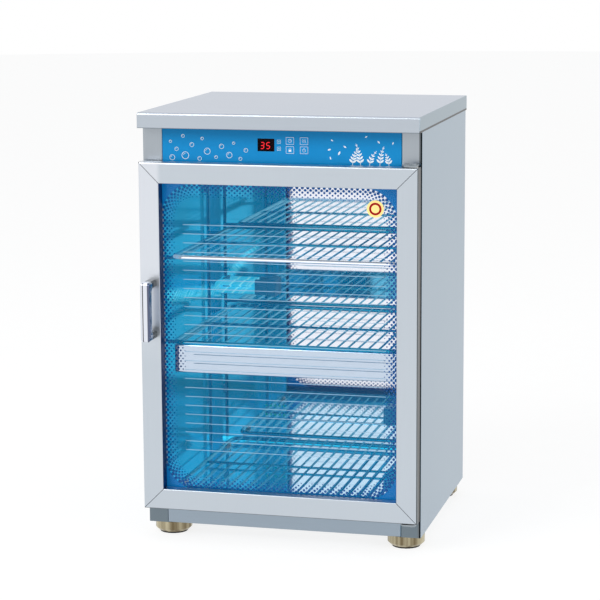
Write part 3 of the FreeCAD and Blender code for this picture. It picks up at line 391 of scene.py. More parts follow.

# %% [markdown]
# ## The mirror at the back
#
# The rear sheet and the floor of the chamber are polished until they mirror. That is what doubles
# the racks' wires and shows the bright room through the door a second time. The polish is never
# perfect, so the gloss is a little cloudy. The rear sheet's outer side is left as it comes from the
# mill, and again the direction of the surface tells which side is which. The light of the lower lamp
# is painted where the rear sheet meets the floor, as a thin bright glowing seam. The floor and the
# ceiling, which mirror each other, are tinted blue green and glow faintly all over: painted lamp light.

# %% Polished steel
def polished_steel(name, colour, seam, light, plain_back=False):
    """A mirror; below the height of its seam, in metres, it glows in the colour of the light."""
    place = begin(name)
    smears = place.node("TexNoise", {}, {
        "Vector": place.stretched((6, 6, 2)), "Scale": 1.5, "Detail": 4.0})
    gloss = smears * 0.03 + 0.015
    tone = smears.tint(shade(*colour, 0.97), shade(*colour, 1.0))
    glow = place.axis(2) < seam
    if plain_back:
        plain = surface_direction(place).axis(1) > 0.5
        grain = place.node("TexNoise", {}, {
            "Vector": place.stretched(ALONG_X), "Scale": 1.0, "Detail": 3.0})
        tone = plain.tint(tone, grain.tint(shade(150, 156, 160), shade(170, 176, 180)))
        gloss = gloss + plain * 0.33
        glow = glow * (1 - plain)
    return end(place.node("BsdfPrincipled", {}, {
        "Base Color": tone, "Metallic": 1.0, "Roughness": gloss,
        "Emission Color": glow.tint((0, 0, 0, 1), shade(*light)), "Emission Strength": 0.7}))


ALL_OVER, FLOOR_SEAM = 1.0, 0.0815
# Painted lamp light: the ceiling and the chamber floor are tinted blue green and glow.
finishes["polished_steel"] = polished_steel("polished_steel", (150, 204, 226), ALL_OVER, (16, 96, 134))
rear_finish = polished_steel("rear_steel", (250, 249, 250), FLOOR_SEAM, (40, 190, 214), plain_back=True)
floor_finish = polished_steel("floor_steel", (196, 228, 238), ALL_OVER, (10, 84, 116))
print("mirrors:", finishes["polished_steel"].name, rear_finish.name, floor_finish.name)

# %% [markdown]
# ## The door's frame
#
# The frame is folded from the same sheet and cut at 45 degrees in its corners. Where two such pieces
# meet there is always a thin dark joint. The solids meet without a gap, so the joint is drawn by
# the finish: near each corner, a point lies on the joint when it is as far across the stile as it
# is up the rail, measured as a share of each one's width.

# %% Frame steel with mitre joints
stile_low, stile_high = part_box("door_left_stile")
rail_low, rail_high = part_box("door_top_rail")
FRAME_HALF_WIDTH = -stile_low[0]
FRAME_HALF_HEIGHT = (stile_high[2] - stile_low[2]) / 2
FRAME_MIDDLE = (stile_high[2] + stile_low[2]) / 2
FRAME_LOW = stile_low[2]
STILE_WIDTH = stile_high[0] - stile_low[0]
RAIL_WIDTH = rail_high[2] - rail_low[2]
JOINT_SHARE, LOW_SHADOW_LINE = 0.018, 0.0013
INNER_EDGE, HINGE_SIDE, SIDE_SHADE_DEPTH = 0.2135, 0.24, -0.2035
print("frame: stiles", STILE_WIDTH, "and rails", RAIL_WIDTH, "wide, half height", FRAME_HALF_HEIGHT)


def frame_steel(name, colour):
    place = begin(name)
    lines, uneven = belt_lines(place, ALONG_Z, 0.5)
    across = (FRAME_HALF_WIDTH - abs(place.axis(0))) / STILE_WIDTH
    upward = (FRAME_HALF_HEIGHT - abs(place.axis(2) - FRAME_MIDDLE)) / RAIL_WIDTH
    joint = abs(across - upward) < JOINT_SHARE
    direction = surface_direction(place)
    steel = uneven.tint(shade(*colour, 0.94), shade(*colour, 1.06))
    # Painted highlight: a lighter patch on the left stile beside the handle.
    lamp_highlight = place.axis(0).between(-0.208, -0.216) * place.axis(2).between(0.32, 0.5)
    steel = lamp_highlight.tint(steel, shade(216, 220, 227))
    # Painted shadow: a dark line along the frame's lowest edge.
    steel = (place.axis(2) < FRAME_LOW + LOW_SHADOW_LINE).tint(steel, shade(78, 84, 90))
    # Painted lamp light: the faces toward the chamber take the lamps' blue.
    steel = (direction.axis(1) > 0.5).tint(steel, shade(30, 118, 164))
    # Painted shade, tinted by the lamps: the sides of the opening are dark blue.
    opening = (abs(direction.axis(0)) > 0.6) * (abs(place.axis(0)) < INNER_EDGE)
    steel = opening.tint(steel, shade(12, 52, 104))
    # Painted shade on the hinge side's outer face: grey in front, black where it lies in the gap.
    outer_side = (direction.axis(0) > 0.6) * (place.axis(0) > HINGE_SIDE)
    hinge_side_shade = (place.axis(1) > SIDE_SHADE_DEPTH).tint(shade(80, 88, 92), shade(12, 14, 14))
    steel = outer_side.tint(steel, hinge_side_shade)
    return end(place.node("BsdfPrincipled", {}, {
        "Base Color": joint.tint(steel, shade(60, 66, 72)), "Metallic": 1.0,
        "Roughness": uneven * 0.12 + 0.24, "Normal": rough(lines, 0.08)}))


finishes["frame_steel"] = frame_steel("frame_steel", (194, 202, 210))
print("frame:", finishes["frame_steel"].name)

# %% [markdown]
# ## Zinc, brass and magnet
#
# Hidden sheets and screws are zinc plated, which dries in pale patches. The pillars under the circuit
# board are turned brass, and the door's magnet is pressed powder. One recipe with a few numbers
# covers all three.

# %% Plated metals
def plated(name, colour, roughness, patches, depth):
    """A plated metal, with so many patches to a metre; they stand out by a depth in metres."""
    place = begin(name)
    patch = place.node("TexNoise", {}, {"Vector": place, "Scale": patches, "Detail": 3.0})
    return end(place.node("BsdfPrincipled", {}, {
        "Base Color": patch.tint(shade(*colour, 0.9), shade(*colour, 1.1)), "Metallic": 1.0,
        "Roughness": patch * 0.1 + (roughness - 0.05), "Normal": rough(patch, 0.3, depth)}))


finishes["brass_fitting"] = plated("brass_fitting", (200, 170, 96), 0.3, 300, 0.00002)
finishes["zinc_steel"] = plated("zinc_steel", (176, 182, 186), 0.38, 45, 0.00002)
finishes["magnet_ferrite"] = plated("magnet_ferrite", (70, 70, 74), 0.6, 400, 0.00005)
print("plated:", [name for name in finishes if "brass" in name or "zinc" in name])

# %% [markdown]
# ## Chrome and brass to look at
#
# The racks are welded wire, plated with chrome. Wherever they look into the chamber, the blue of the
# lamps is painted into their colour and glow. Only the upper rack's front rail, and the apron under
# the middle one, look out of the door and are painted white, a painted reflection of the room; the
# rail glows white as well.

# %% Racks and apron
RACK_HALF_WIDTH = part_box("upper_rack")[1][0]


def lit_chrome(name, front_edge, lowest, inner, white, roughness, glow):
    """Bright metal inside the chamber, which is white only near the door and above a level."""
    place = begin(name)
    wear = place.node("TexNoise", {}, {"Vector": place, "Scale": 60.0, "Detail": 3.0})
    within = abs(place.axis(0)) < RACK_HALF_WIDTH + 0.0005
    front = (place.axis(1) < front_edge) * within * (place.axis(2) > lowest)
    tone = front.tint(wear.tint(shade(*inner, 0.85), shade(*inner, 1.15)),
                      wear.tint(shade(*white, 0.96), shade(*white, 1.0)))
    return end(place.node("BsdfPrincipled", {}, {
        "Base Color": tone, "Metallic": 1.0, "Specular Tint": (0.7, 0.88, 0.92, 1.0),
        "Roughness": wear * 0.03 + roughness, "Normal": rough(wear, 0.3, 0.00002),
        "Emission Color": front.tint(shade(12, 122, 158), shade(*white, glow)), "Emission Strength": 0.3}))


finishes["rack_chrome"] = lit_chrome(
    "rack_chrome", front_edge=-0.1495, lowest=0.42, inner=(36, 140, 168), white=(250, 251, 253),
    roughness=0.12, glow=0.8)
finishes["apron_steel"] = lit_chrome(
    "apron_steel", front_edge=-0.1596, lowest=0.1, inner=(96, 178, 204), white=(208, 219, 229),
    roughness=0.02, glow=0.0)
print("racks:", 2 * RACK_HALF_WIDTH, "wide")

# %% [markdown]
# The handle is a chromed bow. Its front is bright between two bevels, and a fine dark line is painted
# where each bevel meets it, a painted reflection. Its right flank is painted with shade that darkens
# toward the front, and its legs are painted dark, a painted reflection of the shade between the bar
# and the door. The feet are cups of lacquered brass; upright streaks painted on them stand for the
# room's reflection, and a painted shadow darkens their top under the body.

# %% Handle and feet
handle_low, handle_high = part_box("door_handle")
print("handle:", handle_low, handle_high)
FACE_DEPTH, BAR_DEPTH = 0.0036, 0.0192
LEFT_BEVEL, RIGHT_BEVEL = 0.0056, 0.0029
FOOT_SHADE = 0.0228


def bow_chrome(name):
    place = begin(name)
    direction = surface_direction(place)
    wear = place.node("TexNoise", {}, {"Vector": place, "Scale": 25.0, "Detail": 3.0})
    back = place.axis(1) - handle_low[1]
    left, right = place.axis(0) - handle_low[0], handle_high[0] - place.axis(0)
    tone = wear.tint(shade(222, 225, 234, 0.97), shade(222, 225, 234, 1.03))
    # Painted shade: the right flank darkens toward the front.
    flank = back.between(0.002, 0.018).tint(shade(92, 100, 126), shade(184, 194, 204))
    tone = (direction.axis(0) > 0.5).tint(tone, flank)
    face = back < FACE_DEPTH
    # Painted reflection: a fine dark line where each bevel meets the front.
    tone = (face * (abs(left - LEFT_BEVEL) < 0.0008)).tint(tone, shade(58, 60, 68))
    tone = (face * (abs(right - RIGHT_BEVEL) < 0.0005)).tint(tone, shade(110, 114, 128))
    # Painted reflection of the shade between the bar and the door: the legs are dark.
    tone = (back > BAR_DEPTH).tint(tone, shade(46, 54, 58))
    return end(place.node("BsdfPrincipled", {}, {
        "Base Color": tone, "Metallic": 1.0, "Roughness": wear * 0.1 + 0.08}))


def lacquered_brass(name):
    place = begin(name)
    streaks = place.node("TexNoise", {}, {
        "Vector": place.stretched((70, 70, 3)), "Scale": 1.0, "Detail": 2.0})
    # Painted reflection: upright streaks of light and dark brass.
    tone = streaks.between(0.36, 0.66).tint(shade(116, 103, 78), shade(198, 189, 160))
    # Painted shadow: a dark band along the top of each foot, under the body.
    tone = (place.axis(2) > FOOT_SHADE).tint(tone, shade(52, 46, 38))
    return end(place.node("BsdfPrincipled", {}, {
        "Base Color": tone, "Metallic": 1.0, "Roughness": streaks * 0.1 + 0.22,
        "Normal": rough(streaks, 0.1, 0.0001)}))


finishes["handle_chrome"] = bow_chrome("handle_chrome")
finishes["foot_brass"] = lacquered_brass("foot_brass")
print("handle and feet:", finishes["handle_chrome"].name, finishes["foot_brass"].name)

# %% [markdown]
# ## Plastic and rubber
#
# Moulded plastic takes the fine grain of its mould; rubber is duller and coarser. Both are a colour,
# a roughness and a small noise that tilts the surface. What lies in the lamps' light is given the
# lamps' blue as its colour and glows a little in it: painted light.

# %% Moulded parts
def moulded(name, colour, roughness=0.45, grain=900, depth=0.00005, gloss=0.5, glow=0.0):
    place = begin(name)
    skin = place.node("TexNoise", {}, {"Vector": place, "Scale": grain, "Detail": 2.0})
    worn = place.node("TexNoise", {}, {"Vector": place, "Scale": 30.0, "Detail": 3.0})
    return end(place.node("BsdfPrincipled", {}, {
        "Base Color": worn.tint(shade(*colour, 0.92), shade(*colour, 1.06)),
        "Roughness": worn * 0.12 + (roughness - 0.06), "Specular IOR Level": gloss,
        "Normal": rough(skin, 0.3, depth),
        "Emission Color": shade(*colour), "Emission Strength": glow}))


finishes["black_plastic"] = moulded("black_plastic", (34, 34, 37))
finishes["white_plastic"] = moulded("white_plastic", (226, 228, 228))
# Painted lamp light: these two plastics take the lamps' blue as their colour and glow in it.
finishes["lit_plastic"] = moulded("lit_plastic", (20, 122, 160), 0.5, glow=0.4)
finishes["carrier_plastic"] = moulded("carrier_plastic", (18, 88, 128), 0.5, glow=0.3)
finishes["bush_nylon"] = moulded("bush_nylon", (228, 227, 220), 0.35)
finishes["display_black"] = moulded("display_black", (16, 15, 17), 0.55)
finishes["ballast_case"] = moulded("ballast_case", (206, 208, 210), 0.4, 250)
finishes["foot_rubber"] = moulded("foot_rubber", (28, 28, 29), 0.75, 500, 0.0002, 0.3)
finishes["gasket_rubber"] = moulded("gasket_rubber", (18, 74, 118), 0.6, 600, 0.0001, 0.3)
print("moulded:", len([name for name in finishes if "plastic" in name or "rubber" in name]))

# %% [markdown]
# ## The key panel's film
#
# The panel's front is a printed film: blue ink behind a clear, slightly satin skin. The keys are of
# the same film, a shade lighter where they stand proud. The circuit board behind it is green
# lacquer over copper tracks, which a brick texture stands for well enough in a place that nobody
# sees.

# %% Film, keys and board
def film(name, colour, level):
    place = begin(name)
    skin = place.node("TexNoise", {}, {"Vector": place, "Scale": 1800.0, "Detail": 2.0})
    ink = place.node("TexNoise", {}, {"Vector": place, "Scale": 9.0, "Detail": 2.0})
    return end(place.node("BsdfPrincipled", {}, {
        "Base Color": ink.tint(shade(*colour, level * 0.94), shade(*colour, level * 1.05)),
        "Roughness": skin * 0.08 + 0.3, "Specular IOR Level": 0.2, "Normal": rough(skin, 0.2, 0.00003)}))


def circuit_board(name):
    place = begin(name)
    turned = place.node("CombineXYZ", {}, {0: place.axis(0), 1: place.axis(2), 2: 0.0})
    tracks = place.node("TexBrick", {}, {
        "Vector": turned, "Color1": shade(20, 96, 52), "Color2": shade(28, 112, 60),
        "Mortar": shade(86, 150, 90), "Scale": 60.0, "Mortar Size": 0.02})
    return end(place.node("BsdfPrincipled", {}, {"Base Color": tracks, "Roughness": 0.35}))


PANEL_BLUE = (8, 146, 214)
finishes["panel_print"] = film("panel_print", PANEL_BLUE, 1.0)
finishes["key_cap"] = film("key_cap", PANEL_BLUE, 1.12)
finishes["circuit_board"] = circuit_board("circuit_board")
print("film:", finishes["panel_print"].name, finishes["key_cap"].name)

# %% [markdown]
# ## Glass
#
# The door's pane is clear float glass. A real pane bends the light by less than its own thickness,
# so it is enough to let light straight through and to add a faint mirror that grows toward grazing
# angles. A Fresnel node would take the pane's back for the way out of a block of glass and turn it
# into a full mirror from above, so the growth is worked out from how much the surface faces the
# viewer. The display's window is the same, only tinted dark.

# %% Pane and window
GRAZING_SHARE = 0.75


def clear_pane(name, passed, reflected, least=0.008):
    """Glass that lets light straight through; seen square on, it mirrors the least share of it."""
    place = begin(name)
    wipe = place.node("TexNoise", {}, {"Vector": place.stretched((2, 2, 5)), "Scale": 4.0, "Detail": 2.0})
    through = place.node("BsdfTransparent", {}, {"Color": passed})
    mirror = place.node("BsdfPrincipled", {}, {
        "Base Color": reflected, "Metallic": 1.0, "Roughness": wipe * 0.02 + 0.01})
    turned = place.node("LayerWeight", {}, {"Blend": 0.5}, output=1)
    share = turned.math("POWER", turned, 5.0) * GRAZING_SHARE + least
    return end(place.node("MixShader", {}, {0: share, 1: through, 2: mirror}))


finishes["door_glass"] = clear_pane("door_glass", shade(251, 252, 254), shade(220, 235, 250))
finishes["smoked_lens"] = clear_pane("smoked_lens", shade(190, 110, 112), shade(120, 100, 110), 0.034)
print("panes mirror", GRAZING_SHARE, "of what grazes them")

# %% [markdown]
# ## The lamps in the chamber
#
# An ultraviolet lamp is a quartz tube with mercury vapour. It glows cyan, a shade deeper where the
# tube turns away from the eye, with pale slanting streaks painted into its glow, a painted reflection
# of the rack wires. The glow is part of the finish, and lights the sheets near it a little. The
# panel's two indicators glow in the same way, faintly.

# %% Glowing parts
def glowing(name, core, skin, strength, streak_colour=None):
    """A part that glows; the last colour, if given, is that of slanting streaks painted into its glow, a
    painted reflection.
    """
    place = begin(name)
    facing = place.node("LayerWeight", {}, {"Blend": 0.4}, output=1)
    flicker = place.node("TexNoise", {}, {"Vector": place, "Scale": 40.0, "Detail": 1.0})
    glow = facing.tint(core, skin)
    if streak_colour is not None:
        streaks = slanting_streaks((place.axis(0) - place.axis(2)) * 150)
        glow = streaks.between(0.5, 0.64).tint(glow, streak_colour)
    return end(place.node("BsdfPrincipled", {}, {
        "Base Color": shade(120, 200, 220), "Roughness": flicker * 0.06 + 0.08,
        "Emission Color": glow, "Emission Strength": strength}))


finishes["lamp_glass"] = glowing(
    "lamp_glass", shade(4, 168, 194), shade(4, 150, 186), 0.8, shade(150, 226, 232))
finishes["led_lens"] = glowing("led_lens", shade(225, 235, 240), shade(190, 205, 215), 0.15)
print("glowing:", finishes["lamp_glass"].name, finishes["led_lens"].name)

# %% [markdown]
# ## Dressing the solids
#
# The record of the cabinet names a finish for each solid. The loop looks each one up and puts the
# finish on, and the few sheets that face the lamps have their own.

# %% Put the finishes on
slot_of = {part["node"]: part["material_slot"] for part in frame["record"]["subparts"]}
own_finish = {"rear_panel": rear_finish, "chamber_floor": floor_finish}
for lit in ("lamp_bases", "lamp_sockets", "lamp_clips", "ladder_clips"):
    own_finish[lit] = finishes["lit_plastic"]
for name, solid in frame["nodes"].items():
    finish = own_finish.get(name, finishes[slot_of[name]])
    for slot in solid.material_slots:
        slot.material = finish
print("dressed", len(frame["nodes"]), "solids in", len(finishes), "finishes")

# %% [markdown]
# ## Printing ink
#
# What is printed on glass or film lies on it in a layer thinner than paper. Drawing it in a finish
# would take a mask for each dot; as flat shapes a hair's breadth off the surface it is exact at any
# distance, and easy to lay out with ordinary arithmetic. Shapes are written in millimetres across
# and up. One function makes a piece that rides on a body, and another hands it flat shapes that all
# lie at one depth.

# %% Flat shapes
HAIR = 0.05


def disc(x, z, radius, sides=12):
    turns = [math.tau * step / sides for step in range(sides)]
    return [(x + radius * math.cos(turn), z + radius * math.sin(turn)) for turn in turns]


def stroke(points, width, closed=False):
    """The quads of a line of even width through points."""
    ends = points + points[:1] if closed else points
    quads = []
    for (x0, z0), (x1, z1) in zip(ends, ends[1:]):
        length = math.hypot(x1 - x0, z1 - z0) or 1.0
        dx, dz = (x1 - x0) / length * width / 2, (z1 - z0) / length * width / 2
        quads.append([(x0 - dx - dz, z0 - dz + dx), (x0 - dx + dz, z0 - dz - dx),
                      (x1 + dx + dz, z1 + dz - dx), (x1 + dx - dz, z1 + dz + dx)])
    return quads


def arc(x, z, radius, start, stop, steps=16):
    """Points on an arc, with its angles in degrees."""
    turns = [math.radians(start + (stop - start) * step / steps) for step in range(steps + 1)]
    return [(x + radius * math.cos(turn), z + radius * math.sin(turn)) for turn in turns]


def add_piece(name, points, faces, body, finish):
    """A piece that rides on a body; its points are in millimetres."""
    mesh = bpy.data.meshes.new(name)
    mesh.from_pydata([[part * MM for part in point] for point in points], [], faces)
    mesh.materials.append(finish)
    piece = bpy.data.objects.new(name, mesh)
    bpy.context.scene.collection.objects.link(piece)
    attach(piece, body)
    print(name, "has", len(faces), "faces")


def lay_print(name, shapes, depth, body, finish):
    """Lays flat shapes on an upright surface, all at one depth in millimetres."""
    points, faces = [], []
    for shape in shapes:
        faces.append(list(range(len(points), len(points) + len(shape))))
        points += [(x, depth, z) for x, z in shape]
    add_piece(name, points, faces, body, finish)


print("a disc has", len(disc(0, 0, 1)), "corners")

# %% [markdown]
# Ink is flat and even, with a little of the mesh of the screen that it was pressed through. Each
# ink also glows a little in its own colour, a painted light.

# %% Inks
def ink(name, colour, roughness=0.35, glow=0.0):
    place = begin(name)
    weave = place.node("TexVoronoi", {}, {"Vector": place, "Scale": 2500.0})
    return end(place.node("BsdfPrincipled", {}, {
        "Base Color": weave.tint(shade(*colour, 0.96), shade(*colour, 1.04)), "Roughness": roughness,
        "Specular IOR Level": 0.2, "Emission Color": shade(*colour), "Emission Strength": glow}))


# Painted light: the glow of each ink.
navy_ink = ink("navy_ink", (8, 80, 144), glow=0.3)
corner_ink = ink("corner_ink", (10, 114, 178), glow=0.35)
line_ink = ink("line_ink", (150, 184, 204), glow=0.22)
white_ink = ink("white_ink", (240, 246, 250), glow=0.12)
label_ink = ink("label_ink", (246, 222, 142), glow=0.3)
label_red = ink("label_red", (214, 62, 70), glow=0.2)
print("inks:", [m.name for m in bpy.data.materials if m.name.endswith("_ink")])

# %% [markdown]
# ## The door's printed border
#
# The pane's border hides the frame and the seal behind it: the corners are solid, and rows of dots
# shrink from the edge inward, so that the print fades into clear glass. The rows run round the
# rounded corners. Each row has the same number of dots, and every second row is shifted by half a
# step, so the dots of neighbouring rows sit in each other's gaps. A walk round the rounded rectangle
# gives the places.

# %% Dots and corners
pane_low, pane_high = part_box("door_glass")
print("pane:", pane_low, pane_high)
PRINT_DEPTH = pane_high[1] / MM + 0.06
PRINT_LEFT, PRINT_RIGHT, PRINT_LOW, PRINT_HIGH = -215.5, 209.0, 91.0, 643.0
PRINT_X, PRINT_Z = (PRINT_LEFT + PRINT_RIGHT) / 2, (PRINT_LOW + PRINT_HIGH) / 2
HALF_WIDTH, HALF_HEIGHT = (PRINT_RIGHT - PRINT_LEFT) / 2, (PRINT_HIGH - PRINT_LOW) / 2
CORNER_RADIUS, CORNER_OVERHANG = 61.0, 3.0
DOT_PITCH, DOT_RADIUS, DOT_LOSS = 9.8, 2.9, 1.9
DOT_ROWS, FIRST_ROW, ROW_STEP = 6, 2.2, 4.1
LOW_BORDER, LOW_FULLNESS = 40.0, 1.12


def border_row(inset, shift):
    """The places of one row of dots, from the middle of the print."""
    places = []
    flat_x, flat_z = HALF_WIDTH - CORNER_RADIUS, HALF_HEIGHT - CORNER_RADIUS
    across, along = round(2 * flat_x / DOT_PITCH), round(2 * flat_z / DOT_PITCH)
    round_corner = round(CORNER_RADIUS * math.pi / 2 / DOT_PITCH)
    for step in range(across):
        x = -flat_x + (step + shift) * 2 * flat_x / across
        places += [(x, HALF_HEIGHT - inset), (-x, inset - HALF_HEIGHT)]
    for step in range(along):
        z = -flat_z + (step + shift) * 2 * flat_z / along
        places += [(HALF_WIDTH - inset, -z), (inset - HALF_WIDTH, z)]
    for step in range(round_corner):
        turn = math.radians(90 * (step + shift) / round_corner)
        reach = CORNER_RADIUS - inset
        for quarter in range(4):
            corner_x = flat_x * (1 if quarter in (0, 3) else -1)
            corner_z = flat_z * (1 if quarter in (0, 1) else -1)
            angle = math.pi / 2 * (quarter + 1) - turn
            places.append((corner_x + reach * math.cos(angle), corner_z + reach * math.sin(angle)))
    return places


dots = []
for row in range(DOT_ROWS):
    for x, z in border_row(FIRST_ROW + row * ROW_STEP, 0.5 * (row % 2)):
        fullness = LOW_FULLNESS if z < LOW_BORDER - HALF_HEIGHT else 1.0
        radius = fullness * (DOT_RADIUS - DOT_LOSS * row / (DOT_ROWS - 1))
        dots.append(disc(PRINT_X + x, PRINT_Z + z, radius, 10))
lay_print("border_dots", dots, PRINT_DEPTH, "door", navy_ink)

corners = []
for side in (-1, 1):
    for level in (-1, 1):
        flat_x = PRINT_X + side * (HALF_WIDTH - CORNER_RADIUS)
        flat_z = PRINT_Z + level * (HALF_HEIGHT - CORNER_RADIUS)
        tip = (PRINT_X + side * (HALF_WIDTH + CORNER_OVERHANG),
               PRINT_Z + level * (HALF_HEIGHT + CORNER_OVERHANG))
        quarter = arc(0, 0, CORNER_RADIUS, 0, 90, 20)
        bend = [(flat_x + side * x, flat_z + level * z) for x, z in quarter]
        for near, far in zip(bend, bend[1:]):
            corners.append([tip, near, far])
        corners.append([tip, bend[0], (tip[0], bend[0][1])])
        corners.append([tip, bend[-1], (bend[-1][0], tip[1])])
lay_print("border_corners", corners, PRINT_DEPTH, "door", corner_ink)

# %% [markdown]
# Fine level lines cross the pane at even steps. They are of a pale ink, light before the dark
# chamber and grey before the bright mirror.

# %% Level lines
LINE_FIRST, LINE_LAST, LINE_COUNT = 570.5, 164.0, 26
LINE_LEFT, LINE_RIGHT, LINE_WIDTH = -176.0, 188.0, 1.1
line_step = (LINE_FIRST - LINE_LAST) / (LINE_COUNT - 1)
level_lines = []
for number in range(LINE_COUNT):
    z = LINE_FIRST - number * line_step
    level_lines += stroke([(LINE_LEFT, z), (LINE_RIGHT, z)], LINE_WIDTH)
lay_print("level_lines", level_lines, PRINT_DEPTH, "door", line_ink)

# %% [markdown]
# A round paper label is stuck on the pane near its upper right corner: pale yellow with a red ring,
# and nothing written on it.

# %% Round label
LABEL_X, LABEL_Z, LABEL_RADIUS = 170.5, 608.0, 15.0
RING_RADIUS, RING_WIDTH = 9.0, 3.6
label_depth = pane_low[1] / MM - 2 * HAIR
label_shape = disc(LABEL_X, LABEL_Z, LABEL_RADIUS, 40)
lay_print("round_label", [label_shape], label_depth, "door", label_ink)
label_circle = stroke(arc(LABEL_X, LABEL_Z, RING_RADIUS, 0, 345, 24), RING_WIDTH, True)
lay_print("label_ring", label_circle, label_depth - 2 * HAIR, "door", label_red)

# %% [markdown]
# ## On the back
#
# The vent holes in the rear sheet are closed by a fine mesh that keeps dust out; the lamps' light is
# painted on it, in colour and glow, so that it shows as two rows of blue green dots. Pan head screws
# hold the rear sheet along its edges, and are low enough to stay inside the cabinet's own box. A screw
# is a profile turned round its axis.

# %% Vent mesh and screws
def fine_mesh(name):
    place = begin(name)
    threads = place.node("TexVoronoi", {}, {"Vector": place, "Scale": 1600.0})
    return end(place.node("BsdfPrincipled", {}, {
        "Base Color": threads.tint(shade(30, 110, 116), shade(64, 160, 164)), "Roughness": 0.7,
        "Emission Color": shade(24, 150, 156), "Emission Strength": 0.5}))


rear_low, rear_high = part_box("rear_panel")
REAR_FACE, REAR_MIDDLE = rear_high[1] / MM, (rear_low[1] + rear_high[1]) / 2 / MM
print("rear sheet:", rear_low, rear_high)
VENT_X, VENT_Z, VENT_PITCH, VENT_COLUMNS, VENT_RADIUS = -145.0, 131.0, 9.0, 5, 2.6
mesh_discs = [disc(VENT_X + column * VENT_PITCH, VENT_Z + row * 2 * VENT_PITCH, VENT_RADIUS)
              for column in range(VENT_COLUMNS) for row in range(2)]
lay_print("vent_mesh", mesh_discs, REAR_MIDDLE, "cabinet", fine_mesh("vent_mesh"))

SCREW_SIDE, SCREW_LEVELS = 238, (92, 300, 508, 716)
SCREW_PROFILE = ((0.0, 4.0), (1.4, 3.8), (2.3, 2.6), (2.4, 1.4), (1.2, 1.1))
SIDES = 16
screw_places = [(side * SCREW_SIDE, z) for side in (-1, 1) for z in SCREW_LEVELS]
screw_places.append((0, SCREW_LEVELS[-1]))
screw_points, screw_faces = [], []
for x, z in screw_places:
    first = len(screw_points)
    for rise, radius in SCREW_PROFILE:
        screw_points += [(a, REAR_FACE + HAIR + rise, b) for a, b in disc(x, z, radius, SIDES)]
    last = first + (len(SCREW_PROFILE) - 1) * SIDES
    for low in range(first, last, SIDES):
        for step in range(SIDES):
            after = (step + 1) % SIDES
            screw_faces.append((low + step, low + SIDES + step, low + SIDES + after, low + after))
    screw_faces.append([last + step for step in reversed(range(SIDES))])
add_piece("rear_screws", screw_points, screw_faces, "cabinet", finishes["zinc_steel"])

# %% [markdown]
# ## The panel's marks
#
# The film over the keys carries white drawings: bubbles that rise in loose rows on the left, and
# sprigs and blown leaves on the right. Each sprig is a bent stem with pairs of leaves that grow
# smaller toward its tip.

# %% Sprigs and bubbles
film_low, film_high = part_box("control_overlay")
FILM_DEPTH = film_low[1] / MM - HAIR
STEM_WIDTH, LEAF_LENGTH, LEAF_WIDTH, LEAF_ANGLE = 0.9, 8.6, 3.4, 48
BUBBLE_LINE, SHINE_LINE = 0.95, 0.8
print("film:", film_low, film_high)


def leaf(x, z, angle, length, width):
    """The outline of a leaf that grows from a point."""
    shares = [step / 8 for step in range(9)]
    side = [(length * share, width / 2 * math.sin(math.pi * share) ** 0.8) for share in shares]
    outline = side + [(a, -b) for a, b in reversed(side[1:-1])]
    turn = math.radians(angle)
    return [(x + a * math.cos(turn) - b * math.sin(turn), z + a * math.sin(turn) + b * math.cos(turn))
            for a, b in outline]


def sprig(x, z, height, lean, pairs):
    """A stem that bends over, with pairs of leaves along it."""
    shares = [step / 12 for step in range(13)]
    shapes = stroke([(x + lean * share * share, z + height * share) for share in shares], STEM_WIDTH)
    for pair in range(1, pairs + 1):
        share = pair / (pairs + 0.6)
        size = 1.2 - share
        px, pz = x + lean * share * share, z + height * share
        slope = math.degrees(math.atan2(height, 2 * lean * share))
        for turn in (-LEAF_ANGLE, LEAF_ANGLE):
            shapes.append(leaf(px, pz, slope + turn, LEAF_LENGTH * size, LEAF_WIDTH * size))
    return shapes


SPRIG_FOOT = film_low[2] / MM + 3
SPRIGS = ((128, 30, 9, 5), (142, 38, -8, 6), (158, 26, 12, 4), (176, 34, 7, 5), (192, 22, -6, 4))
BUBBLES = (
    (-196, 688, 4.6), (-188, 703, 3.2), (-199, 716, 2.2), (-172, 692, 6.2), (-160, 711, 3.6),
    (-176, 726, 2.6), (-146, 687, 3.4), (-132, 700, 5.4), (-141, 722, 2.4), (-116, 690, 2.6),
    (-106, 709, 4.0), (-92, 694, 5.0), (-84, 715, 2.2), (-72, 688, 2.8), (-62, 703, 3.4))
BLOWN_LEAVES = (
    (84, 706, 20, 6.5), (94, 722, 150, 5.0), (103, 698, 65, 7.5), (112, 714, -30, 6.0),
    (90, 690, 110, 5.5), (150, 729, 35, 5.0), (172, 724, -50, 6.0), (198, 718, 70, 5.0))
panel_art = []
for x, height, lean, pairs in SPRIGS:
    panel_art += sprig(x, SPRIG_FOOT, height, lean, pairs)
for x, z, radius in BUBBLES:
    panel_art += stroke(arc(x, z, radius, 0, 345, 22), BUBBLE_LINE, True)
    panel_art += stroke(arc(x, z, radius * 0.55, 100, 170, 6), SHINE_LINE)
for x, z, angle, length in BLOWN_LEAVES:
    panel_art.append(leaf(x, z, angle, length, length * 0.42))
lay_print("panel_art", panel_art, FILM_DEPTH, "cabinet", white_ink)

# %% [markdown]
# The keys have thin frames with a sign in each: a clock, three waves of heat, a padlock and the usual
# sign for power. They ride on the keys, so that they go in with them when a key is pressed.

# %% Key frames and signs
KEY_MARGIN, KEY_LINE, SIGN_LINE = 1.6, 0.5, 0.6


def thin_frame(x0, x1, z0, z1, width):
    """A rectangle drawn as a line."""
    return stroke([(x0, z0), (x1, z0), (x1, z1), (x0, z1)], width, True)


def clock(x, z):
    hands = [(x, z + 2), (x, z), (x + 1.6, z)]
    return stroke(arc(x, z, 3.0, 0, 360, 20), SIGN_LINE) + stroke(hands, SIGN_LINE)


